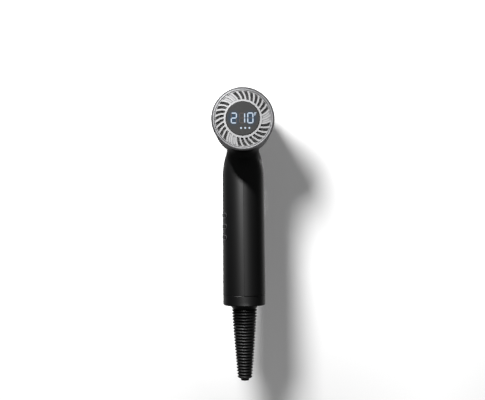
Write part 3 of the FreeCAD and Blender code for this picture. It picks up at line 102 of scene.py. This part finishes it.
def moulded_skin(tree, dark, light, drift_mm, grain_mm, depth_mm, roughness):
    """What every moulding shows: a slow drift in colour, and the tool's grain in gloss and relief."""
    place = add(tree, "ShaderNodeTexCoord").outputs["Object"]
    drift = add(tree, "ShaderNodeTexNoise", {"Vector": place, "Scale": 1 / (drift_mm * MM), "Detail": 2.0})
    grain = add(tree, "ShaderNodeTexNoise", {"Vector": place, "Scale": 1 / (grain_mm * MM), "Detail": 3.0})
    tint = add(tree, "ShaderNodeMix", {0: drift.outputs["Fac"], 6: colour(dark), 7: colour(light)},
               data_type="RGBA")
    low, high = roughness
    gloss = add(tree, "ShaderNodeMapRange", {"Value": grain.outputs["Fac"], "To Min": low, "To Max": high})
    relief = add(tree, "ShaderNodeBump", {"Height": grain.outputs["Fac"], "Distance": depth_mm * MM})
    return {"Base Color": tint.outputs[2], "Roughness": gloss.outputs[0], "Normal": relief.outputs[0]}


def finish(tree, inputs):
    """Close a material with its one surface shader."""
    shader = add(tree, "ShaderNodeBsdfPrincipled", inputs)
    add(tree, "ShaderNodeOutputMaterial", {"Surface": shader.outputs[0]})


# Turned rings too fine to draw: they stretch the lamp's glint along the handle into one soft streak. They
# lean like a coarse thread, and run round the barrel instead above the neck.
NECK_LOW = -44 * MM
NECK_HIGH = -36 * MM

satin_abs, tree = begin("turned_satin_black_abs")
skin = moulded_skin(tree, "#0B0B0C", "#0F0F10", 22, 0.5, 0.006, (0.43, 0.51))
place = add(tree, "ShaderNodeTexCoord").outputs["Object"]
height = add(tree, "ShaderNodeSeparateXYZ", {"Vector": place}).outputs["Z"]
in_barrel = add(tree, "ShaderNodeMapRange", {"Value": height, "From Min": NECK_LOW, "From Max": NECK_HIGH})
along = add(tree, "ShaderNodeMix", {0: in_barrel.outputs[0], 4: (0, 0, 1), 5: (0, 1, 0)}, data_type="VECTOR")
skin.update({"Tangent": along.outputs[1], "Anisotropic": 0.7, "Anisotropic Rotation": 0.056, "IOR": 1.54,
             "Specular IOR Level": 1.0})
finish(tree, skin)
wear(satin_abs, "housing_left", "housing_right", "end_cap")

# Strain relief.
# A sleeve of soft black rubber, moulded in one shot with rings and slits so that it bends with the cord.
# Rubber from a blasted tool is dull, and its rings catch the lamp on their upper slopes.

rubber, tree = begin("moulded_black_rubber")
skin = moulded_skin(tree, "#0C0C0C", "#131313", 9, 0.6, 0.02, (0.4, 0.5))
skin.update({"IOR": 1.52})
finish(tree, skin)
wear(rubber, "strain_relief")

# Buttons.
# Three small black ABS bars from a polished tool, so they are a shade glossier than the handle.

button_abs, tree = begin("polished_black_abs")
skin = moulded_skin(tree, "#0A0A0B", "#0E0E0F", 6, 0.9, 0.004, (0.24, 0.32))
skin.update({"IOR": 1.54})
finish(tree, skin)
wear(button_abs, "power_button", "speed_button", "heat_button")

# Button surrounds.
# Thin rings of ABS plated with nickel, pressed into the housing. Handling has dulled the plating a little,
# so each ring shows as a fine pale outline.


def metal_skin(tree, dark, light, grain_mm, roughness):
    """What every bare or plated metal shows: a grain in its tone and in its gloss."""
    place = add(tree, "ShaderNodeTexCoord").outputs["Object"]
    grain = add(tree, "ShaderNodeTexNoise", {"Vector": place, "Scale": 1 / (grain_mm * MM), "Detail": 4.0})
    tint = add(tree, "ShaderNodeMix", {0: grain.outputs["Fac"], 6: colour(dark), 7: colour(light)},
               data_type="RGBA")
    low, high = roughness
    gloss = add(tree, "ShaderNodeMapRange", {"Value": grain.outputs["Fac"], "To Min": low, "To Max": high})
    return {"Base Color": tint.outputs[2], "Roughness": gloss.outputs[0], "Metallic": 1.0}


bright_nickel, tree = begin("bright_nickel_plate")
finish(tree, metal_skin(tree, "#C4C4C6", "#D2D2D4", 1.2, (0.32, 0.4)))
wear(bright_nickel, "button_trims")

# Intake bezel and outlet ring.
# Turned aluminium rings, bead-blasted and clear anodised, glued into the barrel's two ends. The blast
# leaves a fine frost that spreads the lamp's glint round the rim.

anodised, tree = begin("blasted_anodised_aluminium")
finish(tree, metal_skin(tree, "#C8C8CA", "#D4D4D6", 0.7, (0.56, 0.64)))
wear(anodised, "intake_bezel", "outlet_ring")

# Intake cover.
# A moulded ring of curved louvres, sprayed with silver lacquer whose flakes sparkle a little. It pulls
# off straight back, held on by three pairs of small magnets.

FLAKE = 0.5 * MM
# Painted shade in the grille's corners: how far it reaches, and the occlusion levels where it is deepest and
# where it ends.
CORNER_SHADE_REACH = 1.4 * MM
CORNER_SHADE_DEEPEST = 0.35
CORNER_SHADE_NONE = 0.98

silver_lacquer, tree = begin("sprayed_silver_lacquer")
place = add(tree, "ShaderNodeTexCoord").outputs["Object"]
# Flakes are drawn about five times their real width, so that they show.
flakes = add(tree, "ShaderNodeTexVoronoi", {"Vector": place, "Scale": 1 / FLAKE})
flake = add(tree, "ShaderNodeSeparateColor", {"Color": flakes.outputs["Color"]}).outputs[0]
tint = add(tree, "ShaderNodeMix", {0: flake, 6: colour("#BCBCBD"), 7: colour("#C8C8C9")}, data_type="RGBA")
# Painted shade: the lacquer is drawn dark grey in the corners of the slots and of the blind ones, where shade
# falls.
corner = add(tree, "ShaderNodeAmbientOcclusion", {"Distance": CORNER_SHADE_REACH}, samples=16, only_local=True)
unshaded_share = add(tree, "ShaderNodeMapRange", {
    "Value": corner.outputs["AO"],
    "From Min": CORNER_SHADE_DEEPEST,
    "From Max": CORNER_SHADE_NONE,
})
# The dark grey mixed in here is the painted corner shade.
tint = add(tree, "ShaderNodeMix", {0: unshaded_share.outputs[0], 6: colour("#464648"), 7: tint.outputs[2]},
           data_type="RGBA")
gloss = add(tree, "ShaderNodeMapRange", {"Value": flake, "To Min": 0.5, "To Max": 0.62})
finish(tree, {"Base Color": tint.outputs[2], "Roughness": gloss.outputs[0], "Metallic": 0.25, "IOR": 1.5})
wear(silver_lacquer, "intake_grille")

nickel, tree = begin("nickel_plated_magnet")
finish(tree, metal_skin(tree, "#8E8C88", "#A09E98", 1.0, (0.22, 0.34)))
wear(nickel, "cover_magnets", "frame_magnets", "attachment_magnets", "rotor_magnet")

# Dust screen.
# A ring of thin steel sheet etched into a fine square mesh, sprayed grey and laid in the back of the
# cover. It is the fine grey tooth seen through the louvres, with painted shade darkening it towards its rims.

SCREEN_PITCH = 1.3 * MM
SCREEN_BAR = 0.42 * MM
SCREEN_RIM = 1.9 * MM
RIM_STEPS = 96

plain_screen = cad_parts["intake_mesh"].data
screen_radii = [math.hypot(vertex.co.x, vertex.co.z) for vertex in plain_screen.vertices]
screen_in = min(screen_radii)
screen_out = max(screen_radii)
screen_low, screen_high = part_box("intake_mesh")
screen_thick = screen_high.y - screen_low.y
facing_back = Matrix.Rotation(math.radians(90), 4, "X")


def piece_from(name, shape, body, material, smooth_angle):
    """Turn a finished bmesh into a piece that rides on a body."""
    mesh = bpy.data.meshes.new(name)
    shape.to_mesh(mesh)
    shape.free()
    mesh.shade_smooth()
    mesh.set_sharp_from_angle(angle=math.radians(smooth_angle))
    mesh.materials.append(material)
    piece = bpy.data.objects.new(name, mesh)
    bpy.context.scene.collection.objects.link(piece)
    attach(piece, body)
    return piece


def flat_ring(shape, inner, outer):
    """Add a flat ring to the sheet, which gets its thickness later."""
    loops = []
    for radius in (inner, outer):
        made = bmesh.ops.create_circle(shape, segments=RIM_STEPS, radius=radius)
        loops += list({edge for vertex in made["verts"] for edge in vertex.link_edges})
    bmesh.ops.bridge_loops(shape, edges=loops)


screen = bmesh.new()
cells = math.ceil(screen_out / SCREEN_PITCH)
bmesh.ops.create_grid(screen, x_segments=2 * cells, y_segments=2 * cells, size=cells * SCREEN_PITCH)
outside = []
for face in screen.faces:
    reach = [vertex.co.to_2d().length for vertex in face.verts]
    if min(reach) < screen_in + SCREEN_BAR or max(reach) > screen_out - SCREEN_BAR:
        outside.append(face)
bmesh.ops.delete(screen, geom=outside, context="FACES")
gaps = list(screen.faces)
bmesh.ops.inset_individual(screen, faces=gaps, thickness=SCREEN_BAR / 2)
bmesh.ops.delete(screen, geom=gaps, context="FACES_ONLY")
flat_ring(screen, screen_in, screen_in + SCREEN_RIM)
flat_ring(screen, screen_out - SCREEN_RIM, screen_out)
bmesh.ops.recalc_face_normals(screen, faces=screen.faces)
bmesh.ops.solidify(screen, geom=screen.faces, thickness=screen_thick)
bmesh.ops.transform(screen, matrix=facing_back, verts=screen.verts)
settle = screen_low.y - min(vertex.co.y for vertex in screen.verts)
bmesh.ops.translate(screen, vec=(0, settle, 0), verts=screen.verts)
bmesh.ops.recalc_face_normals(screen, faces=screen.faces)

grey_steel, tree = begin("sprayed_grey_steel")
place = add(tree, "ShaderNodeTexCoord").outputs["Object"]
flat = add(tree, "ShaderNodeVectorMath", {0: place, 1: (1, 0, 1)}, operation="MULTIPLY")
reach = add(tree, "ShaderNodeVectorMath", {0: flat.outputs[0]}, operation="LENGTH")
# Painted shade: the screen darkens towards both rims, where the louvres' shade falls on it.
screen_middle = (screen_in + screen_out) / 2
from_middle = add(tree, "ShaderNodeMath", {0: reach.outputs["Value"], 1: screen_middle}, operation="SUBTRACT")
from_middle = add(tree, "ShaderNodeMath", {0: from_middle.outputs[0]}, operation="ABSOLUTE")
rim_shade = add(tree, "ShaderNodeMapRange", {
    "Value": from_middle.outputs[0],
    "From Min": 0.0,
    "From Max": screen_out - screen_middle - SCREEN_RIM,
})
# Mid grey in the middle, and painted shade of dark grey towards the rims.
tint = add(tree, "ShaderNodeMix", {0: rim_shade.outputs[0], 6: colour("#7C7C7C"), 7: colour("#363636")},
           data_type="RGBA")
speck = add(tree, "ShaderNodeTexNoise", {"Vector": place, "Scale": 1 / (0.6 * MM), "Detail": 2.0})
gloss = add(tree, "ShaderNodeMapRange", {"Value": speck.outputs["Fac"], "To Min": 0.45, "To Max": 0.65})
finish(tree, {"Base Color": tint.outputs[2], "Roughness": gloss.outputs[0]})
dust_screen = piece_from("dust_screen", screen, "intake_cover", grey_steel, 30)
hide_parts("intake_mesh")

# Display lens.
# A disc of smoked polycarbonate with a finely matted face, clipped into the middle of the intake. The
# two full digits, either side of the middle one, have their light painted round them as a faint blue tint and
# glow.

MIDDLE_DIGIT = Vector((-0.75, -96.8, 0.5)) * MM
DIGIT_STEP = Vector((8.3, 0, 0)) * MM
GLOW_REACH = Vector((7.5, 17, 9)) * MM

smoked, tree = begin("smoked_polycarbonate")
skin = moulded_skin(tree, "#686868", "#6E6E6E", 12, 0.9, 0.004, (0.4, 0.48))
place = add(tree, "ShaderNodeTexCoord").outputs["Object"]
about = add(tree, "ShaderNodeVectorMath", {0: place, 1: MIDDLE_DIGIT}, operation="SUBTRACT")
about = add(tree, "ShaderNodeVectorMath", {0: about.outputs[0]}, operation="ABSOLUTE")
about = add(tree, "ShaderNodeVectorMath", {0: about.outputs[0], 1: DIGIT_STEP}, operation="SUBTRACT")
about = add(tree, "ShaderNodeVectorMath", {0: about.outputs[0], 1: GLOW_REACH}, operation="DIVIDE")
bleed = add(tree, "ShaderNodeTexGradient", {"Vector": about.outputs[0]}, gradient_type="SPHERICAL")
# Painted glow: near the full digits the smoke is coloured blue and glows faintly, for the digits' light.
light_tinted = add(tree, "ShaderNodeMix", {0: bleed.outputs["Fac"], 6: skin["Base Color"], 7: colour("#182838")},
             data_type="RGBA")
halo = add(tree, "ShaderNodeMix", {0: bleed.outputs["Fac"], 6: colour("#000000"), 7: colour("#28465F")},
           data_type="RGBA")
skin.update({
    "Base Color": light_tinted.outputs[2],
    "IOR": 1.58,
    "Emission Color": halo.outputs[2],
    "Emission Strength": 1.0,
})
finish(tree, skin)
wear(smoked, "display_lens")

# Display figures.
# Clear acrylic light guides let into the lens, flush with its face. The lit ones glow a cool white from
# the diodes behind them; the unlit ones show only as slightly warmer, paler bars.

lit, tree = begin("lit_acrylic_light_guide")
place = add(tree, "ShaderNodeTexCoord").outputs["Object"]
cloud = add(tree, "ShaderNodeTexNoise", {"Vector": place, "Scale": 1 / (2.0 * MM), "Detail": 1.0})
glow = add(tree, "ShaderNodeMix", {0: cloud.outputs["Fac"], 6: colour("#CBDFF5"), 7: colour("#E8F2FE")},
           data_type="RGBA")
finish(tree, {
    "Base Color": colour("#5A6672"),
    "Roughness": 0.35,
    "IOR": 1.49,
    "Emission Color": glow.outputs[2],
    "Emission Strength": 0.88,
})
wear(lit, "display_lit_figures")

unlit, tree = begin("unlit_acrylic_light_guide")
skin = moulded_skin(tree, "#8A817F", "#918886", 4, 0.9, 0.004, (0.34, 0.42))
skin.update({"IOR": 1.49})
finish(tree, skin)
wear(unlit, "display_unlit_figures")

# Frames inside.
# Black glass-filled nylon: the pod and spokes behind the display, the cones at both ends of the motor,
# the chassis in the handle, the cord clamp and the outlet grille. The glass leaves a dull, mottled skin.

nylon, tree = begin("glass_filled_black_nylon")
skin = moulded_skin(tree, "#101011", "#1B1B1C", 5, 1.2, 0.03, (0.5, 0.66))
skin.update({"IOR": 1.53})
finish(tree, skin)
wear(nylon, "display_frame", "pod_nose", "motor_tail_cap", "handle_chassis", "cord_clamp", "outlet_grille")

# Motor and fan.
# A milled alloy impeller on a ground steel shaft, in an alloy shroud cushioned in grey silicone. Copper
# wire is wound on a stack of steel sheets, which are too thin to be drawn one by one.

SWELL_SCALE = 100 / math.pi

alloy, tree = begin("milled_aluminium_alloy")
finish(tree, metal_skin(tree, "#A4A5A8", "#B6B7BA", 0.5, (0.24, 0.38)))
wear(alloy, "motor_shroud", "motor_end_plate", "impeller", "heat_sink")

steel, tree = begin("zinc_plated_steel")
finish(tree, metal_skin(tree, "#8A8A8C", "#9C9C9E", 0.6, (0.22, 0.36)))
wear(steel, "motor_shaft", "motor_bearings", "frame_screws", "cap_screws", "clamp_screws", "ion_emitters")

laminated, tree = begin("stacked_steel_sheets")
skin = metal_skin(tree, "#6E6E70", "#7C7C7E", 0.8, (0.35, 0.5))
place = add(tree, "ShaderNodeTexCoord").outputs["Object"]
# At this scale one band of the wave is about as long as the stack, so its sides swell once, very slightly.
swell = add(tree, "ShaderNodeTexWave", {"Vector": place, "Scale": SWELL_SCALE}, bands_direction="Y")
relief = add(tree, "ShaderNodeBump", {"Height": swell.outputs["Fac"], "Distance": 0.05 * MM})
skin.update({"Normal": relief.outputs[0]})
finish(tree, skin)
wear(laminated, "motor_stator")

copper, tree = begin("enamelled_copper_wire")
finish(tree, metal_skin(tree, "#9C4F22", "#B8682F", 0.6, (0.24, 0.38)))
wear(copper, "motor_windings", "choke_coil")

silicone, tree = begin("moulded_grey_silicone")
finish(tree, moulded_skin(tree, "#5A5B5E", "#65666A", 8, 1.5, 0.02, (0.5, 0.6)))
wear(silicone, "motor_mount")

# Heater frame and liner.
# Pressed mica sheet: a tube lining the barrel, and crossed cards that carry the wire. Mica is built of
# flakes, which give it a cloudy tan face with a faint pearl.

mica, tree = begin("pressed_mica_sheet")
finish(tree, moulded_skin(tree, "#8C7C5E", "#A8977A", 6, 2.5, 0.05, (0.42, 0.6)))
wear(mica, "heater_liner", "heater_frame")

# Heating wire.
# One bare nickel-chrome wire wound round the mica cards from end to end. It was drawn bright and has
# browned a little in use.

WIRE_R = 0.6 * MM
WIRE_PITCH = 3.2 * MM
WIRE_SIDES = 10
STEPS_A_TURN = 48

coil_low, coil_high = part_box("heater_coil")
coil_r = coil_high.x - WIRE_R
coil_turns = round((coil_high.y - coil_low.y - 2 * WIRE_R) / WIRE_PITCH)

wire = bmesh.new()
ring = bmesh.ops.create_circle(wire, segments=WIRE_SIDES, radius=WIRE_R)["verts"]
bmesh.ops.translate(wire, vec=(coil_r, coil_low.y + WIRE_R, 0), verts=ring)
bmesh.ops.spin(
    wire,
    geom=list(wire.edges),
    axis=(0, -1, 0),
    cent=(0, 0, 0),
    dvec=(0, WIRE_PITCH / STEPS_A_TURN, 0),
    angle=2 * math.pi * coil_turns,
    steps=coil_turns * STEPS_A_TURN,
)
bmesh.ops.holes_fill(wire, edges=[edge for edge in wire.edges if edge.is_boundary], sides=WIRE_SIDES)
bmesh.ops.recalc_face_normals(wire, faces=wire.faces)

nichrome, tree = begin("drawn_nichrome_wire")
finish(tree, metal_skin(tree, "#5E5A56", "#736E68", 0.9, (0.32, 0.46)))
heating_wire = piece_from("heating_wire", wire, "dryer_body", nichrome, 60)
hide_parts("heater_coil")

# Circuit boards and what stands on them.
# Glass-epoxy boards under green solder resist carry parts moulded in black epoxy and nylon. The resist
# is glossy and follows the weave of the glass.

resist, tree = begin("green_solder_resist")
finish(tree, moulded_skin(tree, "#0C3B20", "#10502B", 5, 1.0, 0.01, (0.26, 0.4)))
wear(resist, "display_board", "motor_driver_board", "control_board", "button_board")

epoxy, tree = begin("moulded_black_epoxy")
finish(tree, moulded_skin(tree, "#1B1B1E", "#26262A", 4, 1.0, 0.02, (0.4, 0.55)))
wear(epoxy, "thermal_cutout", "heater_triac", "ion_generator", "tact_switches")

sleeve, tree = begin("shrunk_vinyl_sleeve")
finish(tree, moulded_skin(tree, "#15181F", "#1C212B", 6, 1.4, 0.01, (0.25, 0.36)))
wear(sleeve, "filter_capacitor")

grey_nylon, tree = begin("moulded_grey_nylon")
finish(tree, moulded_skin(tree, "#4B5058", "#565C65", 5, 1.1, 0.02, (0.42, 0.55)))
wear(grey_nylon, "terminal_block")

# Leads.
# Stranded copper in soft silicone insulation, red to the motor and white to the heater, led from the
# control board up through the neck. Silicone is dull and slightly dusty.

red_silicone, tree = begin("extruded_red_silicone")
finish(tree, moulded_skin(tree, "#7E0F0B", "#96150F", 10, 1.0, 0.01, (0.42, 0.54)))
wear(red_silicone, "motor_leads")

white_silicone, tree = begin("extruded_white_silicone")
finish(tree, moulded_skin(tree, "#BEBAB2", "#CFCBC4", 10, 1.0, 0.01, (0.42, 0.54)))
wear(white_silicone, "heater_leads")

# Wall and floor.
# A small white painted wall just ahead of the outlet takes the soft shadow, and a pale floor lies below.
# Both are clear from behind, so they never stand between the object and a camera.

WALL_GAP = 45 * MM
WALL_HALF_WIDTH = 0.45
WALL_TOP = 0.4
FLOOR_DROP = 60 * MM
FLOOR_HALF_WIDTH = 3.0
GLOW_MIDDLE = Vector((0, 0, -0.1))
GLOW_SQUASH = Vector((1, 0, 0.5))
GLOW_START = 0.11
GLOW_FULL = 0.24
WALL_GLOW_NEAR = 0.06
WALL_GLOW_FAR = 0.35
FLOOR_GLOW = 0.45


def stage_sheet(name, half_width, half_depth, place, turn, paint):
    """A flat sheet of the stage, white on the side that faces the object."""
    shape = bmesh.new()
    bmesh.ops.create_grid(shape, x_segments=1, y_segments=1, size=1.0)
    size = Matrix.Diagonal((half_width, half_depth, 1, 1))
    bmesh.ops.transform(shape, matrix=Matrix.Translation(place) @ turn @ size, verts=shape.verts)
    mesh = bpy.data.meshes.new(name)
    shape.to_mesh(mesh)
    shape.free()
    mesh.materials.append(paint)
    sheet = bpy.data.objects.new(name, mesh)
    bpy.context.scene.collection.objects.link(sheet)
    sheet.visible_glossy = False
    sheet.visible_diffuse = False
    return sheet


def white_paint(tree, glow):
    """White paint on one side only, with a weak glow for the light that the room throws back."""
    white = add(tree, "ShaderNodeBsdfDiffuse", {"Color": colour("#F6F6F6")})
    thrown_back = add(tree, "ShaderNodeEmission", {"Strength": glow})
    lifted = add(tree, "ShaderNodeAddShader", {0: white.outputs[0], 1: thrown_back.outputs[0]})
    clear = add(tree, "ShaderNodeBsdfTransparent")
    behind = add(tree, "ShaderNodeNewGeometry").outputs["Backfacing"]
    sided = add(tree, "ShaderNodeMixShader", {0: behind, 1: lifted.outputs[0], 2: clear.outputs[0]})
    add(tree, "ShaderNodeOutputMaterial", {"Surface": sided.outputs[0]})


# The wall's glow grows away from the object, which keeps the shadow deep beside it.
wall_paint, tree = begin("white_wall_paint")
place = add(tree, "ShaderNodeTexCoord").outputs["Object"]
about = add(tree, "ShaderNodeVectorMath", {0: place, 1: GLOW_MIDDLE}, operation="SUBTRACT")
about = add(tree, "ShaderNodeVectorMath", {0: about.outputs[0], 1: GLOW_SQUASH}, operation="MULTIPLY")
away = add(tree, "ShaderNodeVectorMath", {0: about.outputs[0]}, operation="LENGTH")
glow = add(tree, "ShaderNodeMapRange", {
    "Value": away.outputs["Value"],
    "From Min": GLOW_START,
    "From Max": GLOW_FULL,
    "To Min": WALL_GLOW_NEAR,
    "To Max": WALL_GLOW_FAR,
})
white_paint(tree, glow.outputs[0])
floor_paint, tree = begin("white_floor_paint")
white_paint(tree, FLOOR_GLOW)

floor_z = cad_low.z - FLOOR_DROP
wall_half_height = (WALL_TOP - floor_z) / 2
wall_place = Vector((0, cad_high.y + WALL_GAP, floor_z + wall_half_height))
wall = stage_sheet("wall", WALL_HALF_WIDTH, wall_half_height, wall_place, facing_back, wall_paint)
wall.visible_shadow = False
floor_place = Vector((0, 0, floor_z))
floor = stage_sheet("floor", FLOOR_HALF_WIDTH, FLOOR_HALF_WIDTH, floor_place, Matrix.Identity(4), floor_paint)

# Lamps and room.
# A small lamp high on the left lights the object, narrow spots lift the intake and the strain relief, and
# a weak lamp edges it from ahead. A broad lamp throws the soft shadow on the wall.

AMBIENT = 0.25
ROOM_DIM = 0.035
ROOM_AHEAD = 0.6
AHEAD_START = 0.35
AHEAD_FULL = 0.85
NECK = Vector((0, -76, -60)) * MM
KEY_WAY = Vector((-0.406, -0.406, 0.819))
KEY_DISTANCE = 0.42
KEY_SIZE = 0.03
KEY_WATTS = 3.6
INTAKE = Vector((0, -96, 0)) * MM
INTAKE_DISTANCE = 0.6
INTAKE_FRONT_WAY = Vector((-0.09, -0.985, 0.14))
INTAKE_FRONT_CONE_DEG = 6.2
INTAKE_FRONT_WATTS = 8.0
INTAKE_SIDE_WAY = Vector((-0.38, -0.80, 0.46))
INTAKE_SIDE_CONE_DEG = 5.4
INTAKE_SIDE_WATTS = 5.2
RELIEF = Vector((0, -64, -239)) * MM
RELIEF_WAY = Vector((-0.03, -0.82, 0.57))
RELIEF_DISTANCE = 0.6
RELIEF_CONE_DEG = 7.0
RELIEF_WATTS = 14.0
SPOT_SIZE = 0.006
SPOT_BLEND = 0.2
BACK_PLACE = Vector((0.5, 0.9, 0.6))
BACK_SIZE = 0.6
BACK_WATTS = 4.0
SHADE_MIDDLE = Vector((0, -60, -90)) * MM
SHADE_WAY = Vector((-0.364, -1.0, 0.74)).normalized()
SHADE_DISTANCE = 0.386
SHADE_WIDTH = 0.113
SHADE_HEIGHT = 0.161
SHADE_WATTS = 4.2

# In a mirror, the room is bright past the outlet and dim at the intake end.
room = bpy.data.worlds.new("room")
bpy.context.scene.world = room
room.use_nodes = True
tree = room.node_tree
tree.nodes.clear()
ray = add(tree, "ShaderNodeLightPath").outputs
towards = add(tree, "ShaderNodeTexCoord").outputs["Generated"]
ahead = add(tree, "ShaderNodeSeparateXYZ", {"Vector": towards}).outputs["Y"]
mirrored = add(tree, "ShaderNodeMapRange", {
    "Value": ahead,
    "From Min": AHEAD_START,
    "From Max": AHEAD_FULL,
    "To Min": ROOM_DIM,
    "To Max": ROOM_AHEAD,
})
in_mirror = add(tree, "ShaderNodeMath", {0: ray["Is Glossy Ray"], 1: ray["Is Transmission Ray"]},
                operation="MAXIMUM")
level = add(tree, "ShaderNodeMix", {0: in_mirror.outputs[0], 2: AMBIENT, 3: mirrored.outputs[0]})
level = add(tree, "ShaderNodeMix", {0: ray["Is Camera Ray"], 2: level.outputs[0], 3: 1.0})
sky = add(tree, "ShaderNodeBackground", {"Strength": level.outputs[0]})
add(tree, "ShaderNodeOutputWorld", {"Surface": sky.outputs[0]})


def lamp(name, data, place, aim, watts, pieces, state="EXCLUDE"):
    """Place a lamp and turn it to its aim. It spares the given pieces, or lights nothing else."""
    data.energy = watts
    made = bpy.data.objects.new(name, data)
    made.location = place
    made.rotation_euler = (aim - place).to_track_quat("-Z", "Y").to_euler()
    bpy.context.scene.collection.objects.link(made)
    group = bpy.data.collections.new(name + "_linked")
    for piece in pieces:
        group.objects.link(piece)
    for member in group.collection_objects:
        member.light_linking.link_state = state
    made.light_linking.receiver_collection = group


def round_lamp(name, width, height):
    """A flat round or oval lamp."""
    data = bpy.data.lights.new(name, "AREA")
    data.shape = "ELLIPSE"
    data.size = width
    data.size_y = height
    return data


def spot_lamp(name, cone_deg):
    """A lamp with a long snoot, which lights one small place only."""
    data = bpy.data.lights.new(name, "SPOT")
    data.shadow_soft_size = SPOT_SIZE / 2
    data.spot_size = math.radians(cone_deg)
    data.spot_blend = SPOT_BLEND
    return data


stage = [wall, floor]
# A card keeps the strong key off the silver intake, which two spots light more softly. They reach no
# further than the intake's own face, and the front one would glare in the lens, so it spares that too.
display = [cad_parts[name] for name in ("display_lens", "display_lit_figures", "display_unlit_figures")]
silver = [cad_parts["intake_bezel"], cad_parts["intake_grille"], dust_screen]

key_place = NECK + KEY_WAY * KEY_DISTANCE
lamp("key", round_lamp("key", KEY_SIZE, KEY_SIZE), key_place, NECK, KEY_WATTS, stage + silver + display)
for name, way, cone_deg, watts, faces in (
    ("intake_front", INTAKE_FRONT_WAY, INTAKE_FRONT_CONE_DEG, INTAKE_FRONT_WATTS, silver),
    ("intake_side", INTAKE_SIDE_WAY, INTAKE_SIDE_CONE_DEG, INTAKE_SIDE_WATTS, silver + display),
):
    lamp(name, spot_lamp(name, cone_deg), INTAKE + way * INTAKE_DISTANCE, INTAKE, watts, faces, "INCLUDE")
relief_place = RELIEF + RELIEF_WAY * RELIEF_DISTANCE
lamp("relief_spot", spot_lamp("relief_spot", RELIEF_CONE_DEG), relief_place, RELIEF, RELIEF_WATTS, stage)
lamp("back", round_lamp("back", BACK_SIZE, BACK_SIZE), BACK_PLACE, NECK, BACK_WATTS, stage)
shade_place = SHADE_MIDDLE + SHADE_WAY * SHADE_DISTANCE
shade = round_lamp("shade", SHADE_WIDTH, SHADE_HEIGHT)
lamp("shade", shade, shade_place, SHADE_MIDDLE, SHADE_WATTS, stage, "INCLUDE")

# Camera.
# It looks straight along the barrel from a metre behind the bezel, level with the upper part of the
# handle, and leans half a degree.

PHOTO_WIDTH_PX = 485.0
FOCAL_PX = 995.0
EYE_FROM_BEZEL = 1000 * MM
EYE_SIDE = -1.05 * MM
EYE_DROP = 81.9 * MM
ROLL_DEG = 0.5

lens = bpy.data.cameras.new("camera")
lens.lens = lens.sensor_width * FOCAL_PX / PHOTO_WIDTH_PX
camera = bpy.data.objects.new("camera", lens)
bezel_low, bezel_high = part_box("intake_bezel")
camera.location = (EYE_SIDE, bezel_low.y - EYE_FROM_BEZEL, -EYE_DROP)
camera.rotation_euler = (math.radians(90), math.radians(ROLL_DEG), 0)
bpy.context.scene.collection.objects.link(camera)
bpy.context.scene.camera = camera
bpy.context.scene.view_settings.view_transform = "Standard"
